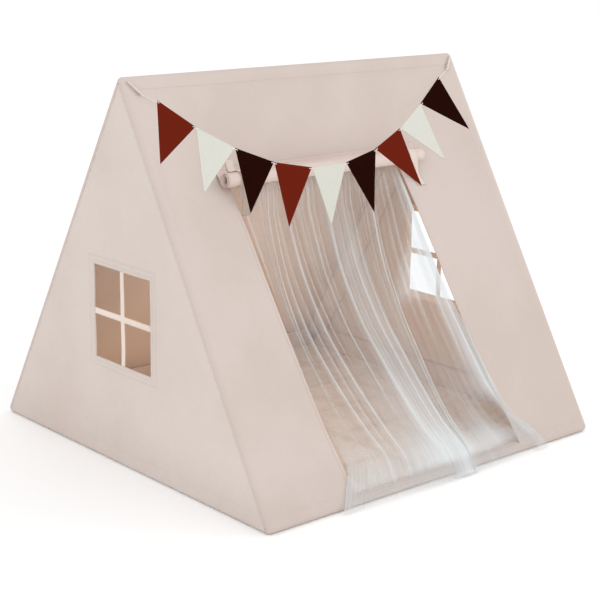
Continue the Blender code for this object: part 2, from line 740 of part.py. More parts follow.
def fitting(name, place, directions):
    """A ball at the corner with a collar and a spigot for each pole."""
    mesh = bpy.data.meshes.new(name)
    work = bmesh.new()
    bmesh.ops.create_uvsphere(work, u_segments=16, v_segments=8, radius=POLE_RADIUS * 0.985)
    bmesh.ops.rotate(work, verts=work.verts[:], matrix=Matrix.Rotation(0.31, 3, "X"))
    work.to_mesh(mesh)
    work.free()
    smooth(mesh)
    made = add(name, mesh, PLASTIC, 0.45)
    made.location = place
    for k, direction in enumerate(directions):
        collar = cylinder(f"{name}_collar_{k}", POLE_RADIUS, place, direction, COLLAR_LENGTH)
        cut(made, collar, "UNION")
    for k, direction in enumerate(directions):
        spigot = cylinder(
            f"{name}_spigot_{k}", SPIGOT_RADIUS, place + direction * (COLLAR_LENGTH - 0.01), direction,
            SPIGOT_LENGTH + 0.01,
        )
        cut(made, spigot, "UNION")


SIDES = (("left", -1), ("right", 1))
DEPTHS = (("front", -1), ("rear", 1))
pole("pole_ridge", corner(-1, 0), corner(1, 0))
for side_name, a in SIDES:
    pole("pole_base_" + side_name, corner(a, -1), corner(a, 1))
    for depth_name, d in DEPTHS:
        pole(f"pole_leg_{depth_name}_{side_name}", corner(a, d), corner(a, 0))
for depth_name, d in DEPTHS:
    pole("pole_base_" + depth_name, corner(-1, d), corner(1, d))
for side_name, a in SIDES:
    for depth_name, d in DEPTHS:
        here = corner(a, d)
        to_ridge = (corner(a, 0) - here).normalized()
        fitting(f"fitting_base_{depth_name}_{side_name}", here, [Vector((-a, 0, 0)), Vector((0, -d, 0)), to_ridge])
    top = corner(a, 0)
    legs = [(corner(a, d) - top).normalized() for _, d in DEPTHS]
    fitting("fitting_ridge_" + side_name, top, [Vector((-a, 0, 0))] + legs)
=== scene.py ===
import math

import bmesh
import bpy
import numpy as np
from mathutils import Matrix, Vector


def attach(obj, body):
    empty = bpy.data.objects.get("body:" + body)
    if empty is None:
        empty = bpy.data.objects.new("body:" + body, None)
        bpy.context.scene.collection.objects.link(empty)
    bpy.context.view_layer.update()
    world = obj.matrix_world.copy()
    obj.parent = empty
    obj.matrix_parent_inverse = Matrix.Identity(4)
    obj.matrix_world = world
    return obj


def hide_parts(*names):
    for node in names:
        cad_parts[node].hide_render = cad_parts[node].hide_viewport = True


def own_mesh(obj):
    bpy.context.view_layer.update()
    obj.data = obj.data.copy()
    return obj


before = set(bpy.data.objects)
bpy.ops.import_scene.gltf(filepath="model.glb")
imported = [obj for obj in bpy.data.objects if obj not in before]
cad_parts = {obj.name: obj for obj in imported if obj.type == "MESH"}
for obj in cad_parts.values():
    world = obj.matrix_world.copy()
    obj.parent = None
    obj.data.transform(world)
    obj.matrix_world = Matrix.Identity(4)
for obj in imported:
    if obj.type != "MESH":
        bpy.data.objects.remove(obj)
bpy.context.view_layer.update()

# Play tent: canvas slopes and gables over a tube frame, a rolled door flap with two straps,
# a tulle curtain, a quilted floor mat and a felt bunting. Metres, in the frame of the solids.
# On a slope, x is across, s is up it from its sharp foot, and h is out of it.

# Shape of the tent, as its solids have it
LENGTH, SHARP_DEPTH, SHARP_HEIGHT = 1.200, 1.220, 1.050
WRAP_RADIUS, CLOTH, GAP = 0.014, 0.0012, 0.0003
DOOR_HALF, DOOR_SILL, DOOR_HEADER = 0.310, 0.033, 0.2652
SAG_DEPTH, REAR_SAG, SAG_END = 0.088, 0.030, 0.003
SAG_BESIDE_DOOR = [
    (0.053, 0.08), (0.109, 0.17), (0.187, 0.31), (0.310, 0.47), (0.467, 0.61), (0.636, 0.73),
    (0.804, 0.84), (0.916, 0.955), (0.961, 1.0),
]
SAG_ABOVE_DOOR = [(0.094, 0.955), (0.283, 0.80), (0.471, 0.59), (0.660, 0.375), (0.848, 0.17)]
GABLE_TIP = 0.0022
WINDOW_Y, WINDOW_Z, WINDOW_WIDTH, WINDOW_HEIGHT = 0.005, 0.4075, 0.252, 0.255
LATTICE_BAR, LATTICE_BORDER = 0.017, 0.026
ROLL_RADIUS, ROLL_TURNS, ROLL_PITCH = 0.0205, 4, 0.0022
STRAP_WIDTH = 0.027
LOOP_TAPE, LOOP_WIDTH, LOOP_DEPTH = 0.0010, 0.008, 0.0060
CORD_RADIUS, CORD_EASE, KNOT_TWINE, THREADING = 0.0010, 0.006, 0.00085, 0.00095
FLAG_HEIGHT, FLAG_FELT, FLAG_SPACE = 0.166, 0.0015, 0.002
FLAG_LEAN = [-1.5, 3.5, 5.0, 21.5, 26.5, 22.0, 1.0, 4.5, -1.5]
MAT_THICK, MAT_CHANNEL, MAT_PADS = 0.012, 0.0045, 6

# The bunting cord's route: its two ends at the tape loops, and the ten places where its nine flags begin or end
CORD_ROUTE = [
    (-0.553586, -0.036692, 0.993412), (-0.516000, -0.044054, 0.974170), (-0.416624, -0.075109, 0.901445),
    (-0.308516, -0.102112, 0.840515), (-0.192046, -0.123245, 0.794503), (-0.067938, -0.134632, 0.770086),
    (0.059057, -0.134075, 0.771044), (0.183071, -0.122471, 0.795836), (0.299541, -0.101337, 0.841848),
    (0.408109, -0.074715, 0.902124), (0.511200, -0.046145, 0.970570), (0.553586, -0.036692, 0.993412),
]

# Sewing and weaving, which the solids don't have: steps of the cloths' grids, half widths of a hem and a seam,
# how high stitches lie, how far a channel reaches from its pole and lies under the cloth, pitches of the weaves,
# how far cloth goes on round the poles, and the holes punched in the flags
GRID, REAR_GRID, LATTICE_GRID, ROLL_GRID, FLAG_GRID = 0.012, 0.013, 0.0071, 0.010, 0.0075
HEM, SEAM = 0.0055, 0.0034
ON_HEM, ON_CLOTH, ON_RIDGE, ON_FLAP = 0.0008, 0.0001, 0.0004, 0.0016
CHANNEL_REACH, SHORT_REACH, RIDGE_REACH, REAR_REACH, SIDE_REACH = 0.034, 0.020, 0.030, 0.046, 0.050
UNDER_CLOTH, UNDER_GABLE = 0.0006, 0.0008
CANVAS_WEAVE, LATTICE_WEAVE, MAT_WEAVE, TAPE_RIB, NET_MESH = 0.0009, 0.0008, 0.0008, 0.0011, 0.0024
LEG_TURN, GABLE_TURN, TURN_SHORT = (math.radians(degrees) for degrees in (85, 88.5, 2.4))
HOLE_RADIUS, HOLE_INSET = 0.0016, 0.007

SLOPE = math.hypot(SHARP_DEPTH / 2, SHARP_HEIGHT)
UP = np.array([0, SHARP_DEPTH / 2, SHARP_HEIGHT]) / SLOPE
OUT = np.array([0, -SHARP_HEIGHT, SHARP_DEPTH / 2]) / SLOPE
X_WAY, Y_WAY, Z_WAY = np.eye(3)
MIRROR_Y = np.array([1, -1, 1])
LEAN = math.atan2(SHARP_HEIGHT, SHARP_DEPTH / 2)
BASE_S = WRAP_RADIUS / math.tan(LEAN / 2)
RIDGE_S = SLOPE - WRAP_RADIUS / math.tan(math.pi / 2 - LEAN)
AXIS_X = LENGTH / 2 - WRAP_RADIUS
AXIS_Y = SHARP_DEPTH / 2 - BASE_S
AXIS_Z = WRAP_RADIUS
RIDGE_Z = SHARP_HEIGHT - WRAP_RADIUS / math.cos(LEAN)
FREE_X = AXIS_X - 0.004
DOOR_TOP = RIDGE_S - DOOR_HEADER
DOOR_RISE = DOOR_TOP - DOOR_SILL
FLAP_SEAM_S = DOOR_TOP + 0.033
STRAP_SEAM_S = DOOR_TOP + 0.050
POLE_RADIUS = WRAP_RADIUS - CLOTH - GAP


# Lines, waves and small sums
def unit(v):
    return v / np.linalg.norm(v)


def together(*values):
    return np.stack(np.broadcast_arrays(*values), -1)


def run_along(points):
    """How far along a line each of its points lies."""
    return np.concatenate([[0], np.cumsum(np.linalg.norm(np.diff(points, axis=0), axis=1))])


def spaced(stops, step):
    """Places along the stops, evenly between each two, none further apart than step."""
    line = [stops[0]]
    for one, two in zip(stops, stops[1:]):
        count = max(1, math.ceil((two - one) / step))
        line += [one + (two - one) * k / count for k in range(1, count + 1)]
    return line


def bend(u, width, low, high, off_low, on_high):
    """A cubic from low to high as u goes from 0 to 1, with the two given slopes at its ends."""
    return (
        (1 + 2 * u) * (1 - u) ** 2 * low + u * (1 - u) ** 2 * width * off_low
        + u * u * (3 - 2 * u) * high + u * u * (u - 1) * width * on_high
    )


def eased(places, values):
    """A smooth line through the knots that never swings past them."""
    x, y = np.array(places, float), np.array(values, float)
    step = np.diff(x)
    rise = np.diff(y) / step
    slope = np.zeros(len(x))
    slope[0], slope[-1] = rise[0], rise[-1]
    same = rise[:-1] * rise[1:] > 0
    slope[1:-1][same] = 2 * rise[:-1][same] * rise[1:][same] / (rise[:-1][same] + rise[1:][same])

    def value(t):
        t = np.clip(t, x[0], x[-1])
        k = np.clip(np.searchsorted(x, t, side="right") - 1, 0, len(x) - 2)
        return bend((t - x[k]) / step[k], step[k], y[k], y[k + 1], slope[k], slope[k + 1])

    return value


def rounded_line(points, count):
    """count points, evenly spaced, on a smooth line through the given ones."""
    points = np.array(points, float)
    run = run_along(points)
    dense = np.linspace(0, run[-1], count)
    k = np.clip(np.searchsorted(run, dense, side="right") - 1, 0, len(run) - 2)
    slope = np.gradient(points, run, axis=0)
    width = run[k + 1] - run[k]
    u = ((dense - run[k]) / width)[:, None]
    return bend(u, width[:, None], points[k], points[k + 1], slope[k], slope[k + 1])


def hump(u, middle, width):
    return np.exp(-(((u - middle) / width) ** 2))


def between(t, low, high):
    """0 to 1 as t goes from low to high, eased."""
    share = np.clip((t - low) / (high - low), 0, 1)
    return share * share * (3 - 2 * share)


def waves(seed, shortest, longest, count=9):
    """Soft creases, about -1 to 1, that run every way over a cloth."""
    luck = np.random.default_rng(seed)
    ranges = ((shortest, longest), (0, math.pi), (0, math.tau))
    lengths, angles, shifts = (luck.uniform(low, high, count) for low, high in ranges)

    def value(u, v):
        sines = (
            np.sin((u * math.cos(angle) + v * math.sin(angle)) * math.tau / length + shift)
            for length, angle, shift in zip(lengths, angles, shifts)
        )
        return sum(sines) / math.sqrt(count)

    return value


def crinkle(seed, shortest, longest, count):
    """Uneven folds across a gathered cloth, which wander a little on the way down."""
    luck = np.random.default_rng(seed)
    lengths = np.exp(luck.uniform(math.log(shortest), math.log(longest), count))
    shifts, wander = luck.uniform(0, math.tau, count), luck.uniform(-2.6, 2.6, count)

    def value(u, t):
        sines = (
            (length / longest) ** 0.6 * np.sin(math.tau * u / length + shift + drift * t)
            for length, shift, drift in zip(lengths, shifts, wander)
        )
        return sum(sines) / math.sqrt(count / 2)

    return value


# Node graphs, for finishes and for pieces that follow a rule
class Value:
    """A socket that Python's own signs work on: each sign adds a Math node."""

    def __init__(self, graph, socket):
        self.graph, self.socket = graph, socket

    def __abs__(self):
        return self.graph.maths("ABSOLUTE", self)

    def __gt__(self, other):
        return self.graph.maths("GREATER_THAN", self, other)

    def sine(self):
        return self.graph.maths("SINE", self)

    def kept(self, low=0.0, high=1.0):
        return self.graph.maths("MINIMUM", self.graph.maths("MAXIMUM", self, low), high)


SIGNS = {"add": "ADD", "sub": "SUBTRACT", "mul": "MULTIPLY", "truediv": "DIVIDE", "pow": "POWER"}
for sign, operation in SIGNS.items():
    setattr(Value, f"__{sign}__", lambda one, other, kind=operation: one.graph.maths(kind, one, other))
    setattr(Value, f"__r{sign}__", lambda one, other, kind=operation: one.graph.maths(kind, other, one))


class Graph:
    """Any node comes from node(): its kind, the values or links of its sockets, and its settings by name."""

    def __init__(self, tree):
        self.tree = tree

    def node(self, kind, inputs=None, **settings):
        made = self.tree.nodes.new(kind)
        for name, value in settings.items():
            setattr(made, name, value)
        for name, value in (inputs or {}).items():
            self.feed(made.inputs[name], value)
        return made

    def feed(self, socket, value):
        if isinstance(value, Value):
            self.tree.links.new(value.socket, socket)
        else:
            socket.default_value = value

    def take(self, kind, inputs=None, outlet=0, **settings):
        return Value(self, self.node(kind, inputs, **settings).outputs[outlet])

    def maths(self, operation, *values):
        return self.take("ShaderNodeMath", dict(enumerate(values)), operation=operation)

    def vector(self, x=0.0, y=0.0, z=0.0):
        return self.take("ShaderNodeCombineXYZ", {0: x, 1: y, 2: z})

    def split(self, vector):
        made = self.node("ShaderNodeSeparateXYZ", {0: vector})
        return [Value(self, made.outputs[k]) for k in range(3)]


def tone(red, green, blue):
    """A screen colour, 0 to 255, as the linear one that a shader takes."""
    linear = [c / 255 / 12.92 if c <= 10 else ((c / 255 + 0.055) / 1.055) ** 2.4 for c in (red, green, blue)]
    return (*linear, 1.0)


class Finish(Graph):
    """A material: the constant values go on the shader's own sockets, colours are given as on screen."""

    def __init__(self, name, **constants):
        self.material = bpy.data.materials.new(name)
        self.material.use_nodes = True
        super().__init__(self.material.node_tree)
        self.shader = self.tree.nodes["Principled BSDF"]
        for label, value in constants.items():
            self.shader.inputs[label.replace("_", " ")].default_value = value
        self.place = self.take("ShaderNodeTexCoord", None, "Object")

    def cut(self):
        """Place on the flat cloth, in metres across and along."""
        return self.split(self.take("ShaderNodeUVMap", uv_map="cut"))[:2]

    def noise(self, scale, detail=3.0, rough=0.5, at=None):
        inputs = {"Scale": scale, "Detail": detail, "Roughness": rough, "Vector": self.place if at is None else at}
        return self.take("ShaderNodeTexNoise", inputs)

    def streaks(self, x, y, z=0.0, detail=2.0, rough=0.6):
        """Noise in a place that has been scaled differently each way."""
        return self.noise(1.0, detail, rough, self.vector(x, y, z))

    def spread(self, value, low, high):
        """value taken from low..high to 0..1, eased and kept inside."""
        inputs = {0: value, 1: low, 2: high, 3: 0.0, 4: 1.0}
        return self.take("ShaderNodeMapRange", inputs, interpolation_type="SMOOTHSTEP")

    def mix(self, share, one, other):
        one, other = (tone(*colour) if isinstance(colour, tuple) else colour for colour in (one, other))
        return self.take("ShaderNodeMix", {0: share, 6: one, 7: other}, 2, data_type="RGBA")

    def laid_on(self, colour, *layers):
        """colour with more colours on it, each by its share."""
        for share, other in layers:
            colour = self.mix(share, colour, other)
        return colour

    def end(self, colour, roughness, height, alpha=None):
        normal = self.take("ShaderNodeBump", {"Strength": 1.0, "Distance": 1.0, "Height": height})
        labels = ("Base Color", "Roughness", "Normal", "Alpha")
        for label, value in zip(labels, (colour, roughness, normal, alpha)):
            if value is not None:
                self.feed(self.shader.inputs[label], value)
        return self.material


def canvas_finish(name, light, deep, pitch=CANVAS_WEAVE, floor_grey=0.35):
    """Cotton canvas: woven, slubbed, softly crumpled, and a little grey along the floor."""
    cloth = Finish(name, Specular_IOR_Level=0.18, Sheen_Weight=0.06, Sheen_Roughness=0.6)
    across, along = cloth.cut()
    warp, weft = ((way * (math.pi / pitch)).sine() for way in (across, along))
    over = warp * weft > 0.0
    threads = abs(warp) * over + abs(weft) * (1 - over)
    slubs = cloth.streaks(across * 35, along * 620) + cloth.streaks(across * 560, along * 42, 3.0)
    slow = cloth.spread(cloth.noise(2.3, 3.0, 0.55), 0.36, 0.66)
    # Greyer in uneven patches over the cloth's lowest 16 cm.
    low = (1 - cloth.spread(cloth.split(cloth.place)[2], 0.0, 0.16)) * cloth.noise(14.0, 4.0, 0.6) * floor_grey
    colour = cloth.laid_on(
        cloth.mix(slow, light, deep), ((slubs - 0.8).kept() * 0.35, (190, 172, 160)),
        ((1 - threads) * 0.10, (160, 140, 126)), (low, (172, 158, 150)),
    )
    height = cloth.noise(9.0, 4.0) * 0.0032 + slubs * 0.00008 + threads * 0.00003
    return cloth.end(colour, 0.82 + slow * 0.08, height)


def tape_finish(name, light, deep):
    """Herringbone tape: diagonal ribs that turn back at its middle and near its edges."""
    cloth = Finish(name, Specular_IOR_Level=0.2, Sheen_Weight=0.08)
    across, along = cloth.cut()
    zigzag = abs((across * 160.0).sine() * 0.006)
    ribs = ((along + zigzag) * (math.tau / TAPE_RIB)).sine() * 0.5 + 0.5
    slow = cloth.noise(18.0)
    colour = cloth.laid_on(cloth.mix(slow, light, deep), ((1 - ribs) * 0.16, (150, 132, 118)))
    return cloth.end(colour, 0.8 + ribs * 0.06, ribs * 0.00009 + slow * 0.0006)


def felt_finish(name, light, deep):
    """Pressed felt: short fibres lying every way, a little lighter where they stand up."""
    cloth = Finish(name, Specular_IOR_Level=0.02)
    x, y, z = cloth.split(cloth.place)
    fibres = cloth.noise(520.0, 4.0, 0.65)
    long_ones = cloth.streaks(x * 900, y * 160, z * 160, 3.0) + cloth.streaks(x * 150, y * 150, z * 820, 3.0)
    colour = cloth.mix(cloth.spread(fibres + (long_ones - 1.0) * 0.5, 0.30, 0.75), deep, light)
    colour = cloth.laid_on(colour, (cloth.noise(26.0) * 0.18, light))
    return cloth.end(colour, 0.93 + fibres * 0.05, fibres * 0.00032 + long_ones * 0.00012)


def tulle_finish(name):
    """Fine net: see-through where it lies flat, denser where its folds gather it."""
    cloth = Finish(name, Specular_IOR_Level=0.10)
    across, along = cloth.cut()
    gathered, combed = (
        cloth.take("ShaderNodeAttribute", None, "Fac", attribute_name=label) for label in ("gathered", "combed")
    )
    strands = (abs((way * (math.pi / NET_MESH)).sine()) for way in (across + along, across - along))
    meshes = 1 - cloth.maths("MINIMUM", *strands)
    drawn = cloth.streaks(across * 120, along * 1.6, 0.0, 3.0) * 0.55
    drawn = cloth.spread(drawn + cloth.streaks(across * 380, along * 2.4, 5.0) * 0.45, 0.36, 0.68)
    patches = cloth.spread(cloth.streaks(across * 9.0, along * 1.1, 9.0, rough=0.5), 0.36, 0.62)
    alpha = gathered * (1.02 + (drawn - 0.40) * (0.18 + patches * 0.55) * combed)
    alpha = (alpha * (0.70 + meshes * 0.50)).kept(0.0, 0.97)
    colour = cloth.mix(drawn, (211, 216, 218), (223, 227, 229))
    return cloth.end(colour, 0.75 + meshes * 0.1, meshes * 0.00005 + drawn * 0.0002, alpha)


def mat_finish(name):
    """Quilted cotton: a finer weave than the canvas, puckered along its channels."""
    cloth = Finish(name, Specular_IOR_Level=0.18, Sheen_Weight=0.08)
    x, y, _ = cloth.split(cloth.place)
    pad = 2 * (AXIS_X - POLE_RADIUS) / MAT_PADS
    from_line = cloth.maths("MINIMUM", *(abs((way * (math.pi / pad)).sine()) for way in (x, y)))
    near = 1 - cloth.spread(from_line, 0.0, 0.35)
    puckers = cloth.streaks(x * 52, y * 21, 0.0, 3.0, 0.55)
    ripples = cloth.streaks(x * 7, y * 62, rough=0.5)
    creases = cloth.noise(7.0, 5.0, 0.6)
    threads = abs((x * (math.pi / MAT_WEAVE)).sine() * (y * (math.pi / MAT_WEAVE)).sine())
    # Darker along the quilting lines: painted shade in the grooves where the mat dips between its pads.
    colour = cloth.laid_on(
        cloth.mix(cloth.spread(creases, 0.35, 0.65), (240, 230, 222), (230, 218, 208)),
        (cloth.spread(ripples, 0.50, 0.66) * 0.16, (206, 190, 176)), (near * 0.30, (206, 189, 173)),
    )
    height = puckers * near * 0.004 + creases * 0.006 + ripples * 0.0035 + threads * 0.00004
    return cloth.end(colour, 0.86 + threads * 0.05, height)


def cord_finish(name):
    cloth = Finish(name, Specular_IOR_Level=0.2, Sheen_Weight=0.1)
    fluff, slow = cloth.noise(900.0, 3.0, 0.6), cloth.noise(60.0, 2.0)
    return cloth.end(cloth.mix(fluff, (226, 220, 208), (246, 243, 236)), 0.78 + slow * 0.1, fluff * 0.0001)


def thread_finish(name, light, deep):
    cloth = Finish(name, Specular_IOR_Level=0.35)
    ply = cloth.noise(1400.0, 2.0)
    return cloth.end(cloth.mix(ply, light, deep), 0.55 + ply * 0.15, ply * 0.00003)


def plastic_finish(name):
    """White plastic: a fine grain, light scuffs and a soft shine."""
    made = Finish(name, IOR=1.46, Coat_Weight=0.05)
    scuffs = made.spread(made.noise(60.0, 6.0, 0.7), 0.55, 0.72)
    colour = made.mix(made.noise(4.0, 2.0), (233, 232, 228), (224, 222, 216))
    colour = made.laid_on(colour, (scuffs * 0.4, (196, 192, 184)))
    return made.end(colour, 0.32 + scuffs * 0.35, made.noise(500.0, 2.0) * 0.00004 + scuffs * 0.00005)


def floor_finish(name):
    made = Finish(name, Specular_IOR_Level=0.1, Emission_Color=(1.0, 1.0, 1.0, 1.0), Emission_Strength=0.03)
    cloudy = made.noise(0.6)
    return made.end(made.mix(cloudy, (255, 255, 255), (254, 254, 254)), 0.9 + cloudy * 0.02, cloudy * 0.0001)


CANVAS = canvas_finish("canvas_front", (209, 196, 189), (203, 189, 181))
# The gables take the slopes' canvas painted lighter: painted light for the light the gables catch.
CANVAS_GABLES_PAINTED_LIGHT = canvas_finish("canvas_gables", (217, 206, 199), (211, 198, 190))
# The door roll takes the cover's canvas painted lighter: painted light on the roll.
CANVAS_ROLL_PAINTED_LIGHT = canvas_finish("canvas_roll", (221, 205, 198), (213, 194, 186), floor_grey=0.0)
# The channels along the base poles take the canvas painted lighter: painted light against the shade they lie in
# beside the mat.
CANVAS_CHANNELS_PAINTED_LIGHT = canvas_finish("canvas_inner", (219, 204, 195), (212, 196, 186), floor_grey=0.0)
LATTICE = canvas_finish("lattice_cotton", (238, 224, 212), (230, 213, 200), LATTICE_WEAVE, 0.0)
TAPE = tape_finish("herringbone_tape", (230, 216, 206), (218, 202, 190))
# The strap tape again, painted darker: painted shade for the left tail, which hangs in the roll's shadow.
TAPE_PAINTED_SHADE = tape_finish("tape_reverse", (184, 168, 156), (166, 150, 138))
TAPE_FINE = tape_finish("loop_tape", (224, 212, 204), (212, 198, 189))
TULLE = tulle_finish("curtain_tulle")
MAT_CLOTH = mat_finish("quilted_cotton")
CORD = cord_finish("bunting_twine")
THREAD = thread_finish("canvas_thread", (206, 192, 184), (194, 179, 169))
# Thread for the sill stitches: real stitching, painted dark so that it also gives the shadow line along the sill's
# top edge.
THREAD_PAINTED_SHADOW = thread_finish("sill_thread", (120, 96, 86), (100, 78, 70))
THREAD_LIGHT = thread_finish("mat_thread", (232, 222, 210), (214, 200, 186))
FELTS = [
    (felt_finish("felt_rust", (112, 35, 20), (94, 27, 14)), "felt_rust"),
    (felt_finish("felt_cream", (215, 215, 207), (204, 203, 193)), "felt_cream"),
    (felt_finish("felt_dark_brown", (38, 11, 6), (27, 6, 3)), "felt_brown"),
]
PLASTIC = plastic_finish("white_plastic")


# Ways to make pieces
def placed(name, data):
    made = bpy.data.objects.new(name, data)
    bpy.context.scene.collection.objects.link(made)
    return made


def finished(mesh, cut=None):
    """A smooth mesh; cut gives each point its place on the flat cloth."""
    if cut is not None:
        layer = mesh.uv_layers.new(name="cut")
        corners = np.zeros(len(mesh.loops), np.int32)
        mesh.loops.foreach_get("vertex_index", corners)
        layer.data.foreach_set("uv", np.asarray(cut, np.float32)[corners].ravel())
    mesh.polygons.foreach_set("use_smooth", np.ones(len(mesh.polygons), bool))
    mesh.update()
    return mesh


def new_mesh(points, faces, cut=None, edges=()):
    mesh = bpy.data.meshes.new("mesh")
    mesh.from_pydata(np.asarray(points, float).tolist(), edges, faces)
    return finished(mesh, cut)


def evaluated(holder):
    """The plain mesh that a curve or a modifier makes; its holder goes."""
    bpy.context.view_layer.update()
    state = bpy.context.evaluated_depsgraph_get()
    mesh = bpy.data.meshes.new_from_object(holder.evaluated_get(state), depsgraph=state)
    bpy.data.objects.remove(holder)
    return mesh


def rows_mesh(*grids, missing=None, closed=False):
    """A mesh over grids of points, each with the places of its points on the flat cloth."""
    faces, count = [], 0
    for points, _ in grids:
        index = count + np.arange(points.shape[0] * points.shape[1]).reshape(points.shape[:2])
        count += index.size
        if closed:
            index = np.vstack([index, index[:1]])
        quads = np.stack([index[:-1, :-1], index[:-1, 1:], index[1:, 1:], index[1:, :-1]], -1)
        faces.append(quads.reshape(-1, 4) if missing is None else quads[~missing])
    points, cut = (np.concatenate([grid[k].reshape(-1, 3 - k) for grid in grids]) for k in (0, 1))
    used, flat = np.unique(np.concatenate(faces), return_inverse=True)
    return new_mesh(points[used], flat.reshape(-1, 4).tolist(), cut[used])


def line_mesh(lines):
    """Open lines of points as one mesh of edges."""
    starts = set(np.cumsum([len(line) for line in lines]).tolist())
    points = np.concatenate([np.asarray(line, float) for line in lines])
    return new_mesh(points, [], None, [(k - 1, k) for k in range(1, len(points)) if k not in starts])


def tubes_mesh(lines, radius, sides=8):
    """Round cords along lines of points, closed at both ends."""
    points, faces = [], []
    turns = math.tau * np.arange(sides)[:, None] / sides
    for line in lines:
        ahead = np.gradient(np.array(line, float), axis=0)
        ahead /= np.linalg.norm(ahead, axis=1)[:, None]
        turned = np.cross(ahead[0], [0.31, 0.17, 0.93])
        first = len(points)
        for place, way in zip(line, ahead):
            turned = unit(turned - way * (turned @ way))
            points += list(place + (turned * np.cos(turns) + np.cross(way, turned) * np.sin(turns)) * radius)
        for start in range(first, len(points) - sides, sides):
            around = [(start + j, start + (j + 1) % sides) for j in range(sides)]
            faces += [(one, two, two + sides, one + sides) for one, two in around]
        faces += [tuple(range(first + sides - 1, first - 1, -1)), tuple(range(len(points) - sides, len(points)))]
    return new_mesh(points, faces)


def piece(name, mesh, finish, stands_for=(), body="tent", thick=0.0, side=0.0):
    """thick gives an open cloth its walls: to both sides of the mesh, or inward of it with side -1."""
    mesh.name = name
    made = placed(name, mesh)
    mesh.materials.clear()
    mesh.materials.append(finish)
    if thick:
        wall = made.modifiers.new("Thickness", "SOLIDIFY")
        wall.thickness, wall.offset = thick, side
    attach(made, body)
    if stands_for:
        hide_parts(*stands_for)
    return made


def cover(name, mesh, finish, solid):
    """A sheet of the cover, made from its outer face."""
    return piece(name, mesh, finish, [solid], thick=CLOTH, side=-1.0)


def declare_sheet(made):
    """Works out the width, length and area of the flat cloth from its UV map, and keeps none of them."""
    cut = np.zeros(len(made.data.loops) * 2, np.float32)
    made.data.uv_layers["cut"].data.foreach_get("uv", cut)
    cut = cut.reshape(-1, 2).astype(float)
    area = 0.0
    for face in made.data.polygons:
        x, y = cut[list(face.loop_indices)].T
        area += abs(np.sum(x * np.roll(y, -1) - np.roll(x, -1) * y)) / 2
    flat = tuple(float(v) for v in np.ptp(cut, axis=0))
    box = flat[0] * flat[1]
    area = max(min(float(area), box), 0.3 * box)


class Recipe(Graph):
    """A Geometry Nodes tree with a named input for each size, run once on a mesh."""

    def __init__(self, **sizes):
        tree = bpy.data.node_groups.new("recipe", "GeometryNodeTree")
        kinds = {float: "NodeSocketFloat", int: "NodeSocketInt"}
        tree.interface.new_socket("Geometry", in_out="INPUT", socket_type="NodeSocketGeometry")
        for label, value in sizes.items():
            kind = kinds.get(type(value), "NodeSocketMaterial")
            tree.interface.new_socket(label, in_out="INPUT", socket_type=kind)
        tree.interface.new_socket("Geometry", in_out="OUTPUT", socket_type="NodeSocketGeometry")
        super().__init__(tree)
        self.sizes = sizes
        self.given = {s.name: Value(self, s) for s in self.node("NodeGroupInput").outputs if s.name}

    def even_path(self, step):
        path = self.take("GeometryNodeMeshToCurve", {"Mesh": self.given["Geometry"]})
        return self.take("GeometryNodeResampleCurve", {"Curve": path, "Length": step}, mode="LENGTH")

    def run_on(self, source, solid):
        solid = self.take("GeometryNodeSetShadeSmooth", {0: solid})
        solid = self.take("GeometryNodeSetMaterial", {"Geometry": solid, "Material": self.given["Finish"]})
        self.node("NodeGroupOutput", {0: solid})
        holder = placed("recipe", source)
        nodes = holder.modifiers.new("Nodes", "NODES")
        nodes.node_group = self.tree
        for socket in self.tree.interface.items_tree:
            if socket.in_out == "INPUT" and socket.name in self.sizes:
                nodes[socket.identifier] = self.sizes[socket.name]
        return evaluated(holder)


def sewn(name, lines, seed, finish=THREAD, pitch=0.0042, length=0.0031, thread=0.00034):
    """A piece of stitches, half sunk in the cloth, evenly along every line."""
    graph = Recipe(Pitch=pitch, Length=length, Thread=thread, Seed=seed, Finish=finish)
    given = graph.given
    path = graph.even_path(given["Pitch"])
    along = graph.take("GeometryNodeInputTangent")
    turned = graph.take("FunctionNodeAlignRotationToVector", {"Vector": along}, axis="Z")
    bead = graph.take("GeometryNodeMeshUVSphere", {"Segments": 5, "Rings": 3, "Radius": 1.0})
    scale = graph.vector(given["Thread"], given["Thread"], given["Length"] / 2)
    bead = graph.take("GeometryNodeTransform", {"Geometry": bead, "Scale": scale})
    uneven = {2: 0.88, 3: 1.10, "Seed": given["Seed"]}
    uneven = graph.take("FunctionNodeRandomValue", uneven, 1, data_type="FLOAT")
    laid = graph.take("GeometryNodeInstanceOnPoints", {
        "Points": path, "Instance": bead, "Rotation": turned, "Scale": graph.vector(uneven, uneven, uneven),
    })
    solid = graph.take("GeometryNodeRealizeInstances", {"Geometry": laid})
    return piece(name, graph.run_on(line_mesh(lines), solid), finish)


# Bunting cord: three plies of twine twisted along the route
def cord_line():
    route = [np.array(p) for p in CORD_ROUTE]
    points = [route[0]]
    for before, here, after in zip(route, route[1:], route[2:]):
        back = here + unit(before - here) * CORD_EASE
        on = here + unit(after - here) * CORD_EASE
        turn = [(back * 9 + here * 6 + on) / 16, (back + 2 * here + on) / 4, (back + here * 6 + on * 9) / 16]
        points += [back, *turn, on]
    return points + [route[-1]]


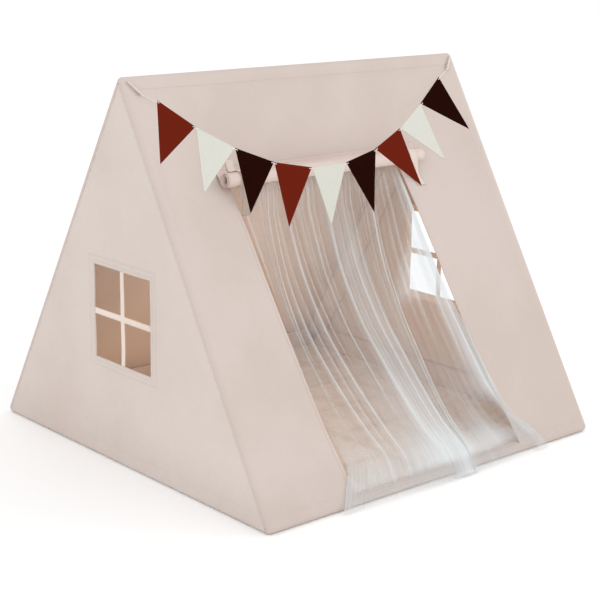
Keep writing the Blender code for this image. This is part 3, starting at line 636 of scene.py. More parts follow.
def twisted_cord(line):
    graph = Recipe(Radius=CORD_RADIUS, Lay=0.0060, Step=0.0009, Finish=CORD)
    given = graph.given
    path = graph.even_path(given["Step"])
    along = graph.take("GeometryNodeSplineParameter", None, "Length")
    path = graph.take("GeometryNodeSetCurveTilt", {"Curve": path, "Tilt": along * math.tau / given["Lay"]})
    ring = graph.take("GeometryNodeCurvePrimitiveCircle", {"Resolution": 12, "Radius": 1.0})
    lobe = abs((graph.take("GeometryNodeInputIndex") * (math.pi / 4.0)).sine()) * 0.30 + 0.72
    shape = {0: graph.take("GeometryNodeInputPosition"), "Scale": lobe * given["Radius"]}
    shape = graph.take("ShaderNodeVectorMath", shape, operation="SCALE")
    ring = graph.take("GeometryNodeSetPosition", {"Geometry": ring, "Position": shape})
    solid = {"Curve": path, "Profile Curve": ring, "Fill Caps": True}
    return graph.run_on(line_mesh([line]), graph.take("GeometryNodeCurveToMesh", solid))


def knot(name, place, way):
    """A small overhand knot where the cord is tied round a tape loop."""
    turn = np.array(Vector(Z_WAY).rotation_difference(Vector(way)).to_matrix())
    a = math.tau * np.arange(49) / 48
    spots = together(np.sin(a) + 1.6 * np.sin(2 * a), np.cos(a) - 1.6 * np.cos(2 * a), -1.1 * np.sin(3 * a))
    line = place + spots @ turn.T * KNOT_TWINE
    return piece(name, tubes_mesh([line], KNOT_TWINE, 7), CORD, (), "bunting")


CORD_LINE = cord_line()
bunting_cord = piece("bunting_twine", twisted_cord(CORD_LINE), CORD, ["bunting_cord"], "bunting")
knots = [
    knot("knot_left", CORD_LINE[0], CORD_LINE[1] - CORD_LINE[0]),
    knot("knot_right", CORD_LINE[-1], CORD_LINE[-2] - CORD_LINE[-1]),
]


# Slopes: the front one sags inward between its poles and beside its doorway, the rear one less
SAG_KNOTS = [
    (BASE_S, 0.0), (DOOR_SILL, 0.0), *((DOOR_SILL + share * DOOR_RISE, deep) for share, deep in SAG_BESIDE_DOOR),
    (DOOR_TOP, 1.0), *((DOOR_TOP + share * DOOR_HEADER, deep) for share, deep in SAG_ABOVE_DOOR),
    (RIDGE_S - SAG_END, 0.0), (RIDGE_S, 0.0),
]
sag_up = eased([s for s, _ in SAG_KNOTS], [deep * SAG_DEPTH for _, deep in SAG_KNOTS])
front_creases = waves(4, 0.13, 0.42)
rear_creases = waves(9, 0.16, 0.50)
gable_creases = waves(15, 0.12, 0.40)


def sag(x, s):
    return sag_up(s) * np.maximum(0.0, 1 - np.abs(x / FREE_X) ** 4)


def rear_sag(x, s):
    along = np.clip((s - BASE_S - SAG_END) / (RIDGE_S - BASE_S - 2 * SAG_END), 0, 1)
    across = np.maximum(0.0, 1 - np.abs(x / FREE_X) ** 3)
    loose = 0.0016 * across * np.sin(math.pi * along) * rear_creases(x, s)
    return REAR_SAG * across * np.sin(math.pi * along) - loose


def front_sag(x, s):
    """The sag with its soft creases."""
    return sag(x, s) - 0.0011 * front_creases(x, s) * np.clip(sag(x, s) / 0.03, 0, 1)


def slope_place(x, s, out=0.0, a=0.0, b=0.0, rear=False):
    """A point of a slope, turned by a round a leg pole and by b round the base or ridge pole."""
    values = np.broadcast_arrays(*[np.asarray(v, float) for v in (x, s, out, a, b)])
    x, s, out, a, b = (v[..., None] for v in values)
    normal = (OUT * np.cos(b) + UP * np.sin(b)) * np.cos(a) + X_WAY * np.sin(a)
    places = np.array([0, -SHARP_DEPTH / 2, 0]) + X_WAY * x + UP * s - OUT * WRAP_RADIUS
    places = places + normal * (WRAP_RADIUS + out)
    return places * MIRROR_Y if rear else places


def slope_cloth(across, up, sink, rear=False):
    """A slope's cloth with its turns round all four poles; the front one has the doorway cut out."""
    turns = [LEG_TURN * k / 8 for k in range(8, 0, -1)]
    lowest, highest = math.pi - LEAN - TURN_SHORT, LEAN - TURN_SHORT
    columns = [(-AXIS_X, -t) for t in turns] + [(x, 0.0) for x in across] + [(AXIS_X, t) for t in reversed(turns)]
    rows = [(BASE_S, -lowest * k / 10) for k in range(10, 0, -1)] + [(s, 0.0) for s in up]
    rows += [(RIDGE_S, highest * k / 6) for k in range(1, 7)]
    x, a = np.array(columns).T
    s, b = (v[:, None] for v in np.array(rows).T)
    flat = (np.abs(a) + np.abs(b)) < 1e-9
    points = slope_place(x, s, -np.where(flat, sink(x + 0 * s, s + 0 * x), 0.0), a, b, rear)
    cut = together(x + WRAP_RADIUS * a, s + WRAP_RADIUS * b)
    if rear:
        return rows_mesh((points[:, ::-1], cut[:, ::-1]))
    middle_x, middle_s = (x[:-1] + x[1:]) / 2, (s[:-1] + s[1:]) / 2
    missing = (np.abs(middle_x) < DOOR_HALF) & (middle_s > DOOR_SILL) & (middle_s < DOOR_TOP)
    return rows_mesh((points, cut), missing=missing)


beside_door = [DOOR_HALF, DOOR_HALF + 0.012, FREE_X, AXIS_X]
front_across = spaced([-x for x in reversed(beside_door)] + beside_door, GRID)
front_up = spaced([BASE_S, DOOR_SILL, DOOR_TOP, RIDGE_S - SAG_END, RIDGE_S], GRID)
rear_across = spaced([-AXIS_X, -FREE_X, FREE_X, AXIS_X], REAR_GRID)
rear_up = spaced([BASE_S, BASE_S + SAG_END, RIDGE_S - SAG_END, RIDGE_S], REAR_GRID)
front_canvas = slope_cloth(front_across, front_up, front_sag)
front_canvas = cover("front_canvas", front_canvas, CANVAS, "cover_front")
rear_canvas = slope_cloth(rear_across, rear_up, rear_sag, True)
rear_canvas = cover("rear_canvas", rear_canvas, CANVAS, "cover_rear")


# Seams and hems: narrow raised bands that follow the cloth, and their stitches
def band(places, half, flip, raised=0.0007, edge=0.0012):
    """places(w, lift) gives a line of points w beside the band's middle and lift above the cloth."""
    profile = [(-half, 0.0001), (-half + edge, raised), (0.0, raised * 1.15), (half - edge, raised), (half, 0.0001)]
    rows = np.array([places(w, lift) for w, lift in profile])
    cut = together(run_along(rows[2]), np.array(profile)[:, :1])
    return (rows[::-1], cut[::-1]) if flip else (rows, cut)


def up_line(x, low, high, lift):
    s = np.array(spaced([low, high], GRID))
    return slope_place(x, s, lift - front_sag(x, s))


def across_line(s, low, high, lift, rear=False):
    x = np.array(spaced([low, high], GRID))
    return slope_place(x, s, lift - (rear_sag if rear else front_sag)(x, s), rear=rear)


def leg_line(sign, rear, w, lift):
    """Along a leg pole: w under 0 is on the slope's turn round the pole, over 0 on the gable."""
    s = np.array(spaced([BASE_S + 0.004, RIDGE_S - 0.004], 0.02))
    line = slope_place(sign * AXIS_X, s, lift, sign * (math.pi / 2 + min(w, 0.0) / WRAP_RADIUS), rear=rear)
    return line - OUT * (MIRROR_Y if rear else 1) * max(w, 0.0)


def leg_bands(rear):
    return [
        band(lambda w, lift, sign=sign: leg_line(sign, rear, w, lift), SEAM, (sign > 0) != rear, 0.0003, 0.0016)
        for sign in (-1, 1)
    ]


front_bands = [
    band(lambda w, lift, x=x: up_line(x + w, DOOR_SILL - 2 * HEM, DOOR_TOP + 2 * HEM, lift), HEM, True)
    for x in (-DOOR_HALF - HEM, DOOR_HALF + HEM)
]
front_bands.append(band(lambda w, lift: across_line(DOOR_SILL - HEM + w, -DOOR_HALF, DOOR_HALF, lift), HEM, False))
front_seams = piece("front_seams", rows_mesh(*front_bands, *leg_bands(False)), CANVAS)
rear_seams = piece("rear_seams", rows_mesh(*leg_bands(True)), CANVAS)

# Where stitches run: in two rows on a hem, below the ridge, and on a slope's turn round a leg pole
HEM_ROWS, RIDGE_ROW, LEG_ROW = (0.0016, 0.0094), RIDGE_S - 0.026, -0.0052
front_lines = []
for beside in HEM_ROWS:
    front_lines += [
        up_line(-DOOR_HALF - beside, DOOR_SILL, DOOR_TOP + 0.006, ON_HEM),
        up_line(DOOR_HALF + beside, DOOR_SILL, DOOR_TOP + 0.006, ON_HEM),
        across_line(DOOR_SILL - beside, -DOOR_HALF, DOOR_HALF, ON_HEM),
        across_line(FLAP_SEAM_S + 0.001 - beside * 0.9, -DOOR_HALF - 0.030, DOOR_HALF + 0.062, 0.0018),
    ]
front_lines.append(across_line(RIDGE_ROW, -FREE_X, FREE_X, ON_RIDGE))
front_lines += [leg_line(sign, False, LEG_ROW, ON_CLOTH) for sign in (-1, 1)]
for ends in ((-FREE_X, -DOOR_HALF - 0.012), (DOOR_HALF + 0.012, FREE_X)):
    front_lines.append(across_line(0.020 + BASE_S, *ends, ON_CLOTH))
rear_lines = [
    across_line(RIDGE_ROW, -FREE_X, FREE_X, ON_RIDGE, True),
    across_line(0.046, -FREE_X, FREE_X, ON_CLOTH, True),
    *(leg_line(sign, True, LEG_ROW, ON_CLOTH) for sign in (-1, 1)),
]
front_stitches = sewn("front_stitches", front_lines, 3)
rear_stitches = sewn("rear_stitches", rear_lines, 5)
# Long dark stitches along the sill: real stitching, painted dark as the painted shadow line at the sill's top edge.
sill_line = across_line(DOOR_SILL - 0.0010, -DOOR_HALF + 0.004, DOOR_HALF - 0.004, 0.0002)
sill_shadow_stitches = sewn("sill_shadow_stitches", [sill_line], 17, THREAD_PAINTED_SHADOW, 0.0115, 0.0098, 0.00062)
for cloth, depth, sewing in (
    (front_canvas, "front", [front_seams, front_stitches, sill_shadow_stitches]),
    (rear_canvas, "rear", [rear_seams, rear_stitches]),
):
    declare_sheet(cloth)


# Gables: a flat triangle that carries on round the base pole, softly creased, with its window
def billow(y, w):
    """How far a gable's cloth, and the window patch on it, moves inward."""
    height = RIDGE_Z - AXIS_Z
    wide = np.maximum(AXIS_Y * (1 - w / height), 0.02)
    across = np.clip(1 - (np.abs(y) / wide) ** 2, 0, 1)
    along = np.clip(w / 0.10, 0, 1) * np.clip((height - w) / 0.20, 0, 1)
    return across * along * (0.0035 + 0.0010 * gable_creases(y, w))


def gable_place(sign, y, w, out=0.0):
    """y across and w above the base pole's axis; w under 0 goes on round the pole."""
    y, w, out = np.broadcast_arrays(*[np.asarray(v, float) for v in (y, w, out)])
    a = np.minimum(w, 0.0) / WRAP_RADIUS
    over = WRAP_RADIUS + out - np.where(w > 0, billow(y, w), 0.0)
    return together(sign * (AXIS_X + over * np.cos(a)), y, AXIS_Z + over * np.sin(a) + np.maximum(w, 0.0))


def bisect(work, geometry, place, normal, outer=False):
    place, normal = Vector(place), Vector(normal)
    bmesh.ops.bisect_plane(work, geom=geometry, plane_co=place, plane_no=normal, clear_outer=outer, dist=1e-6)


def flat_points(work):
    """Ends a bmesh: its mesh and its points as an array."""
    mesh = bpy.data.meshes.new("mesh")
    work.to_mesh(mesh)
    work.free()
    return mesh, np.array([v.co for v in mesh.vertices])


def gable_cloth(sign):
    edge = AXIS_Y - 2 * GAP
    top = RIDGE_Z - GABLE_TIP * RIDGE_Z / AXIS_Y - AXIS_Z
    near, far = WINDOW_Y - WINDOW_WIDTH / 2, WINDOW_Y + WINDOW_WIDTH / 2
    low, high = WINDOW_Z - WINDOW_HEIGHT / 2 - AXIS_Z, WINDOW_Z + WINDOW_HEIGHT / 2 - AXIS_Z
    ys = spaced([-edge, near, far, edge], GRID)
    ws = [-GABLE_TURN * WRAP_RADIUS * k / 6 for k in range(6, 0, -1)] + spaced([0.0, low, high, top], GRID)
    work = bmesh.new()
    grid = [[work.verts.new((y, w, 0)) for y in ys] for w in ws]
    for lower, upper, w, w2 in zip(grid, grid[1:], ws, ws[1:]):
        for c in range(len(ys) - 1):
            if not (near < (ys[c] + ys[c + 1]) / 2 < far and low < (w + w2) / 2 < high):
                work.faces.new((lower[c], lower[c + 1], upper[c + 1], upper[c]))
    for side in (-1, 1):
        upper = [v for v in work.verts if v.co.y >= -1e-7]
        chosen = set(upper)
        inside = [part for parts in (work.edges, work.faces) for part in parts if set(part.verts) <= chosen]
        outward = Vector((side * top, edge - GABLE_TIP, 0)).normalized()
        bisect(work, upper + inside, (side * edge, 0, 0), outward, True)
    for v in [v for v in work.verts if not v.link_faces]:
        work.verts.remove(v)
    if sign < 0:
        bmesh.ops.reverse_faces(work, faces=work.faces[:])
    mesh, flat = flat_points(work)
    mesh.vertices.foreach_set("co", gable_place(sign, flat[:, 0], flat[:, 1]).ravel())
    return finished(mesh, flat[:, :2])


def lattice_cloth(sign):
    """The patch behind the window: a wide border and two crossing bars, a little fuller at their middle."""
    half_w, half_h, bar = WINDOW_WIDTH / 2, WINDOW_HEIGHT / 2, LATTICE_BAR / 2
    ys, zs = (
        np.array(spaced([-half - LATTICE_BORDER, -half, -bar, 0, bar, half, half + LATTICE_BORDER], LATTICE_GRID))
        for half in (half_w, half_h)
    )
    y, z = np.meshgrid(ys, zs)
    full = np.zeros_like(y)
    inside = (np.abs(y) < half_w) & (np.abs(z) < half_h)
    for off in (np.abs(y), np.abs(z)):
        full = np.maximum(full, np.where(inside & (off < bar), 0.0010 * (1 - (off / bar) ** 2), 0.0))
    points = gable_place(sign, WINDOW_Y + y, WINDOW_Z + z - AXIS_Z, full - (CLOTH + GAP))
    y_mid, z_mid = np.abs(ys[:-1] + ys[1:]) / 2, (np.abs(zs[:-1] + zs[1:]) / 2)[:, None]
    missing = (y_mid > bar) & (y_mid < half_w) & (z_mid > bar) & (z_mid < half_h)
    way = slice(None, None, sign)
    return rows_mesh((points[:, way], together(y, z)[:, way]), missing=missing)


def window_lines(sign, grow, out):
    """The four sides of a rectangle that is larger than the window by grow all round."""
    half_w, half_h, middle = WINDOW_WIDTH / 2 + grow, WINDOW_HEIGHT / 2 + grow, WINDOW_Z - AXIS_Z
    (near, far), (low, high) = (WINDOW_Y - half_w, WINDOW_Y + half_w), (middle - half_h, middle + half_h)
    ys, ws = np.linspace(near, far, 31), np.linspace(low, high, 31)
    return [gable_place(sign, *spot, out) for spot in ((ys, low), (far, ws), (ys[::-1], high), (near, ws[::-1]))]


def window_band(sign, grow, half, *shape):
    def ring(w, lift):
        line = np.concatenate([part[:-1] for part in window_lines(sign, grow + w, lift)])
        return np.vstack([line, line[:1]])

    return band(ring, half, sign < 0, *shape)


for side, sign in (("left", -1), ("right", 1)):
    gable = cover(f"{side}_gable", gable_cloth(sign), CANVAS_GABLES_PAINTED_LIGHT, f"cover_gable_{side}")
    patch = lattice_cloth(sign)
    patch = cover(f"{side}_window_lattice", patch, LATTICE, f"window_lattice_{side}")
    welt = [window_band(sign, HEM, 0.0050), window_band(sign, LATTICE_BORDER - 0.002, 0.0018, 0.0004, 0.0006)]
    welt = piece(f"{side}_window_welt", rows_mesh(*welt), CANVAS_GABLES_PAINTED_LIGHT)
    base = np.array(spaced([-AXIS_Y + 0.035, AXIS_Y - 0.035], GRID))
    lines = [line for grow in (0.0020, 0.0090) for line in window_lines(sign, grow, ON_HEM)]
    lines += window_lines(sign, LATTICE_BORDER - 0.0042, 0.0002) + [gable_place(sign, base, 0.030, ON_CLOTH)]
    thread = sewn(f"{side}_gable_stitches", lines, 7)
    declare_sheet(gable)
    declare_sheet(patch)


# Channels inside the cover that the poles go through
def channel(name, axis, outward, upward, one, past, other, narrow=False):
    """Along the pole's axis, in section from one by past to other, each outward and upward of the axis."""
    share = np.linspace(0, 1, 9)[None, :, None]
    one, past, other = (np.broadcast_to(np.array(v, float), (len(axis), 2))[:, None, :] for v in (one, past, other))
    profile = one * (1 - share) ** 2 + past * 2 * share * (1 - share) + other * share ** 2
    points = axis[:, None, :] + profile[..., :1] * outward + profile[..., 1:] * upward
    cut = together(run_along(points[0])[None, :], run_along(axis)[:, None])
    if narrow:
        between_slopes = np.minimum(AXIS_Y + 0.008 - (points[..., 2] - AXIS_Z) / math.tan(LEAN), AXIS_Y - 0.006)
        points[..., 1] = np.clip(points[..., 1], -between_slopes, between_slopes)
    # Base channels take the canvas painted lighter: painted light against the shade beside the mat.
    finish = CANVAS_CHANNELS_PAINTED_LIGHT if name.startswith("base") else CANVAS
    piece(name, rows_mesh((points, cut)), finish, thick=0.0008)


def channels():
    inner = WRAP_RADIUS - CLOTH - 0.0004
    on_mat = (-CHANNEL_REACH, MAT_THICK - 0.0028 - AXIS_Z)
    run_x, run_y = (np.array(spaced([-end + 0.006, end - 0.006], 0.04)) for end in (AXIS_X, AXIS_Y))

    def from_slope(face, rise, out, height, sunk):
        start = face * (inner - sunk)[:, None] + rise * height
        return together(start @ out, start @ Z_WAY)

    for depth, mirror in (("front", -1), ("rear", 1)):
        rear = mirror > 0
        flip = np.array([1, -mirror, 1])
        face, rise, out = OUT * flip, UP * flip, Y_WAY * mirror
        height = REAR_REACH if rear else DOOR_SILL - 0.0006 - BASE_S
        sunk = rear_sag(run_x, BASE_S + REAR_REACH) + UNDER_CLOTH if rear else 0.0 * run_x
        start, past = from_slope(face, rise, out, height, sunk), (-0.016, 0.016 if rear else 0.018)
        channel(f"base_channel_{depth}", together(run_x, mirror * AXIS_Y, AXIS_Z), out, Z_WAY, start, past, on_mat)
        for side, sign in (("left", -1), ("right", 1)):
            s = np.array(spaced([BASE_S + 0.010, RIDGE_S - 0.012], 0.04))
            axis = slope_place(sign * AXIS_X, s, -WRAP_RADIUS, rear=rear)
            beside = CHANNEL_REACH if rear else SHORT_REACH
            start = together(-beside, inner - (rear_sag if rear else sag)(AXIS_X - beside, s) - UNDER_CLOTH)
            foot = axis - CHANNEL_REACH * face
            stop = together(inner - UNDER_GABLE - billow(foot[:, 1], foot[:, 2] - AXIS_Z), -CHANNEL_REACH)
            channel(f"leg_channel_{depth}_{side}", axis, X_WAY * sign, face, start, (-0.011, -0.012), stop)
    for side, sign in (("left", -1), ("right", 1)):
        start = together(inner - UNDER_GABLE - billow(run_y, SIDE_REACH), SIDE_REACH)
        axis = together(sign * AXIS_X, run_y, AXIS_Z)
        channel(f"base_channel_{side}", axis, X_WAY * sign, Z_WAY, start, (-0.008, 0.010), on_mat, True)
    start = from_slope(OUT, UP, Y_WAY, -SHORT_REACH, sag(run_x, RIDGE_S - SHORT_REACH) + UNDER_CLOTH)
    stop = from_slope(OUT, UP, Y_WAY, -RIDGE_REACH, rear_sag(run_x, RIDGE_S - RIDGE_REACH) + UNDER_CLOTH)
    stop = stop * np.array([-1, 1])
    channel("ridge_channel", together(run_x, 0.0, RIDGE_Z), Y_WAY, Z_WAY, start, (0.002, -0.021), stop)


channels()


# Rolled door flap: a tongue sewn to the cover, then the spiral
ROLL_S = DOOR_TOP - 0.013
ROLL_H = 0.038 - float(sag(0.0, ROLL_S))
ROLL_X = (-DOOR_HALF - 0.036, DOOR_HALF + 0.070)
STRAP_X = (-DOOR_HALF + 0.0185, DOOR_HALF + 0.0175)
TONGUE_POINTS, TURN_POINTS = 26, 28


def roll_spot(degrees, radius):
    turn = math.radians(degrees)
    return ROLL_S + radius * math.cos(turn), ROLL_H + radius * math.sin(turn)


def roll_line(x):
    outer = ROLL_RADIUS - CLOTH / 2
    sewn_down = (FLAP_SEAM_S, FLAP_SEAM_S - 0.005, FLAP_SEAM_S - 0.010)
    tongue = [(s, GAP + CLOTH / 2 - float(front_sag(x, s))) for s in sewn_down]
    start = (ROLL_S + outer * 0.6, ROLL_H - outer)
    tongue += [(tongue[-1][0] - 0.010, tongue[-1][1] * 0.6 + start[1] * 0.4), start]
    strapped = min(abs(x - STRAP_X[0]), abs(x - STRAP_X[1])) < 0.03
    spiral = []
    for k in range(ROLL_TURNS * TURN_POINTS + 1):
        share = k / TURN_POINTS
        slack = 0.00022 * math.sin(9 * x + 1.3 * share) + 0.00016 * math.sin(31 * x + 0.7 * share)
        radius = outer - ROLL_PITCH * share - 0.0003 + (0.0 if strapped else slack)
        spiral.append(roll_spot(-90 - 360 * share, radius))
    return np.array(list(rounded_line(tongue + spiral[:3], TONGUE_POINTS)) + spiral[3:])


def columns_mesh(columns, cuts):
    return rows_mesh((np.stack(columns, 1), np.stack(cuts, 1)))


def roll_mesh():
    columns, cuts = [], []
    for x in spaced([ROLL_X[0], *STRAP_X, ROLL_X[1]], ROLL_GRID):
        line = roll_line(x)
        turns = np.clip((np.arange(len(line)) - TONGUE_POINTS) / TURN_POINTS, 0, ROLL_TURNS)
        near_left, near_right = (np.clip(1 - abs(x - end) / 0.05, 0, 1) for end in ROLL_X)
        columns.append(slope_place(x + (near_left - near_right) * 0.0016 * np.sin(2.1 * turns), *line.T))
        cuts.append(together(x, run_along(line)))
    return columns_mesh(columns, cuts)


rolled_door = piece("rolled_door", roll_mesh(), CANVAS_ROLL_PAINTED_LIGHT, ["door_roll"], thick=CLOTH)

# Straps round the roll and their free tails
STRAP_THICK, TAIL_DRIFT = 0.0012, 0.036
HUG = ROLL_RADIUS + GAP + STRAP_THICK / 2


def tape(name, line_of, middle, count, finish, solid):
    """A length of strap tape; line_of gives its line at each place across."""
    columns, cuts = [], []
    for x in (middle + STRAP_WIDTH * k / 6 for k in range(-3, 4)):
        line = rounded_line(line_of(x), count)
        columns.append(slope_place(x + line[:, 2], line[:, 0], line[:, 1]))
        cuts.append(together(x - middle, run_along(columns[-1])))
    return piece(name, columns_mesh(columns, cuts), finish, [solid], thick=STRAP_THICK)


def strap_line(x):
    over = GAP + CLOTH + GAP
    seams = [STRAP_SEAM_S, FLAP_SEAM_S + 0.004, FLAP_SEAM_S - 0.0045, FLAP_SEAM_S - 0.011]
    lifts = (GAP, 3 * GAP, over + 2 * GAP, over + 5.5 * GAP)
    line = [(s, lift + STRAP_THICK / 2 - float(front_sag(x, s)), 0.0) for s, lift in zip(seams, lifts)]
    return line + [(*roll_spot(turn, HUG), 0.0) for turn in range(24, 236, 10)]


TAIL_START = [(*roll_spot(turn, HUG + STRAP_THICK + GAP), 0.0) for turn in range(52, 121, 10)]


def left_tail(x):
    s, h = roll_spot(120, ROLL_RADIUS + 2 * GAP + 0.0018)
    falls = (0.010, 0.020, 0.045, 0.070, 0.095)
    return TAIL_START + [(s - UP[2] * fall, h - OUT[2] * fall, 0.0022 * math.sin(fall * 45)) for fall in falls]


def right_tail(x):
    """It leaves the roll, drifts to the right and lies down on the slope."""
    line = [(0.024, ROLL_H + 0.0125, 0.11), (0.038, ROLL_H, 0.28), (0.054, ROLL_H - 0.0125, 0.50)]
    for below, share in ((0.070, 0.75), (0.086, 1.0)):
        line.append((below, 0.0030 - float(front_sag(x + TAIL_DRIFT * share, ROLL_S - below)), share))
    return TAIL_START + [(ROLL_S - below, h, TAIL_DRIFT * share) for below, h, share in line]


# The left tail takes the tape painted darker: painted shade under the roll.
for side, middle, tail, back in (
    ("left", STRAP_X[0], left_tail, TAPE_PAINTED_SHADE), ("right", STRAP_X[1], right_tail, TAPE),
):
    strap = tape(f"{side}_roll_strap", strap_line, middle, 70, TAPE, f"roll_strap_{side}")
    end = tape(f"{side}_strap_tail", tail, middle, 46, back, f"roll_tail_{side}")
    low, high, near, far = FLAP_SEAM_S + 0.006, STRAP_SEAM_S - 0.002, middle - 0.010, middle + 0.010
    box = [up_line(x, low, high, ON_FLAP) for x in (near, far)]
    box += [across_line(s, near, far, ON_FLAP) for s in (low, high)]
    tack = sewn(f"{side}_strap_stitches", box, 11, THREAD, 0.0030, 0.0023)
    declare_sheet(strap)
    declare_sheet(end)
declare_sheet(rolled_door)

# Tape loops at the ridge ends
LOOP_TOP = (AXIS_X - 0.004, RIDGE_S - 0.0072)
LOOP_END = (LOOP_TOP[0] - 0.026, LOOP_TOP[1] - 0.033)


def loop_mesh(sign):
    top, end = (slope_place(sign * x, s) for x, s in (LOOP_TOP, LOOP_END))
    along = unit(end - top)
    wide = np.cross(OUT, along)
    length = float(np.linalg.norm(end - top))
    radius = (LOOP_DEPTH - LOOP_TAPE) / 2
    turn = np.radians(15.0 * np.arange(13) - 90)[:, None]
    share = np.arange(1, 12)[:, None] / 12
    ring = np.concatenate([
        along * (length + radius * np.cos(turn)) + OUT * radius * np.sin(turn),
        along * length * (1 - share) + OUT * radius * (1 - 0.22 * np.sin(math.pi * share)),
        along * radius * np.cos(turn + math.pi) + OUT * radius * np.sin(turn + math.pi),
        along * length * share - OUT * radius,
    ])
    across = np.linspace(-LOOP_WIDTH / 2, LOOP_WIDTH / 2, 5)
    rows = top + OUT * (GAP + LOOP_TAPE / 2 + radius) + ring[:, None, :] + wide * across[:, None]
    return rows_mesh((rows, together(across[None, :], run_along(ring)[:, None])), closed=True)


for side, sign in (("left", -1), ("right", 1)):
    loop = piece(f"{side}_ridge_loop", loop_mesh(sign), TAPE_FINE, [f"tape_loop_{side}"], thick=LOOP_TAPE)


# Bunting flags: punched felt triangles, each threaded on the cord through its two holes
def flag_mesh(half, turned, centre, seed):
    """A felt triangle cut fine enough to curl, its pivot line on X, laid on its place."""
    top = 0.004
    curve = bpy.data.curves.new("flag", "CURVE")
    curve.dimensions, curve.fill_mode = "2D", "BOTH"
    around = [math.tau * k / 16 for k in range(16)]
    holes = [
        [(side * (half - HOLE_INSET) + HOLE_RADIUS * math.cos(a), HOLE_RADIUS * math.sin(a)) for a in around]
        for side in (-1, 1)
    ]
    for shape in ([(-half, top), (0, top - FLAG_HEIGHT), (half, top)], *holes):
        line = curve.splines.new("POLY")
        line.points.add(len(shape) - 1)
        line.use_cyclic_u = True
        for point, place in zip(line.points, shape):
            point.co = (*place, 0, 1)
    work = bmesh.new()
    work.from_mesh(evaluated(placed("flag", curve)))
    bmesh.ops.remove_doubles(work, verts=work.verts[:], dist=1e-6)
    for way, low, high in ((X_WAY, -half, half), (Y_WAY, top - FLAG_HEIGHT, top)):
        for place in spaced([low, high], FLAG_GRID)[1:-1]:
            bisect(work, work.verts[:] + work.edges[:] + work.faces[:], way * place, way)
    if sum(f.normal.z for f in work.faces) < 0:
        bmesh.ops.reverse_faces(work, faces=work.faces[:])
    mesh, flat = flat_points(work)
    luck = np.random.default_rng(seed)
    down = np.clip((top - flat[:, 1]) / FLAG_HEIGHT, 0, 1)
    curl = 0.0030 * luck.uniform(0.3, 1.0) * down ** 2
    curl = curl + 0.0012 * np.sin(flat[:, 0] / half * math.pi * 0.5 + luck.uniform(-1, 1)) ** 2 * down
    flat[:, 2] = CORD_RADIUS + GAP + FLAG_FELT / 2 + curl
    mesh.vertices.foreach_set("co", (flat @ turned.T + centre).ravel())
    return finished(mesh, flat[:, :2])


def threading(half, turned, centre):
    """The cord's two short stretches through a flag's holes and over its face."""
    front = CORD_RADIUS + GAP + FLAG_FELT + CORD_RADIUS * 0.85
    # Along the flag from its hole or from its edge, and the share of the way up to its front
    from_hole = ((-0.0006, 0), (-0.0003, 0.55), (0.0012, 1), (0.0042, 1.02))
    from_edge = ((-0.0002, 0.92), (0.0006, 0.45), (0.0009, 0))
    spots = [(half - HOLE_INSET + x, z) for x, z in from_hole] + [(half + x, z) for x, z in from_edge]
    for side in (-1, 1):
        yield rounded_line([(side * x, 0.0, front * z) for x, z in spots], 19) @ turned.T + centre


for k, (first, second) in enumerate(zip(np.array(CORD_ROUTE[1:-2]), np.array(CORD_ROUTE[2:-1]))):
    name, lean = f"flag_{k + 1}", math.radians(FLAG_LEAN[k])
    chord = unit(second - first)
    normal = unit(OUT - chord * (OUT @ chord))
    down = np.cross(chord, normal)
    hang = down * math.cos(lean) - normal * math.sin(lean)
    turned = np.stack([chord, -hang, normal * math.cos(lean) + down * math.sin(lean)], 1)
    centre = (first + second) / 2
    half = (float(np.linalg.norm(second - first)) - FLAG_SPACE) / 2
    felt, slot = FELTS[k % 3]
    flag = piece(f"felt_{name}", flag_mesh(half, turned, centre, 20 + k), felt, [name], name, FLAG_FELT)
    twine = tubes_mesh(threading(half, turned, centre), THREADING)
    twine = piece(f"{name}_threading", twine, CORD, (), name)
    # The photograph has no shade of the flags on the canvas
    for hung in (flag, twine):
        hung.visible_shadow = hung.visible_diffuse = False


# Curtain: tulle gathered under the header inside, drawn out over the sill to the floor in front.
# Share of the doorway's height, how far out its middle and its edges are, its left and right edge,
# depth of its folds
CURTAIN_PATH = [
    (1 + 0.019 / DOOR_RISE, None, None, -0.284, 0.298, 0.0040), (0.860, -0.125, None, -0.294, 0.305, 0.0046),
    (0.692, -0.133, None, -0.299, 0.299, 0.0046), (0.524, -0.119, None, -0.302, 0.301, 0.0044),
    (0.367, -0.086, None, -0.303, 0.310, 0.0042), (0.221, -0.047, None, -0.303, 0.317, 0.0040),
    (0.150, -0.026, -0.018, -0.301, 0.322, 0.0036), (0.0975, -0.010, -0.008, -0.300, 0.336, 0.0032),
    (0.019, 0.012, 0.004, -0.340, 0.386, 0.0024), (-0.0415, 0.020, 0.012, -0.378, 0.408, 0.0018),
]
# How far each part of the cloth is drawn sideways by the time it reaches the hem
CURTAIN_DRAWN = [
    (-1.0, 0.0), (-0.60, -0.04), (-0.45, 0.05), (-0.20, -0.05), (0.08, -0.16), (0.43, -0.24), (0.72, -0.48),
    (0.86, -0.34), (0.95, -0.10), (1.0, 0.0),
]
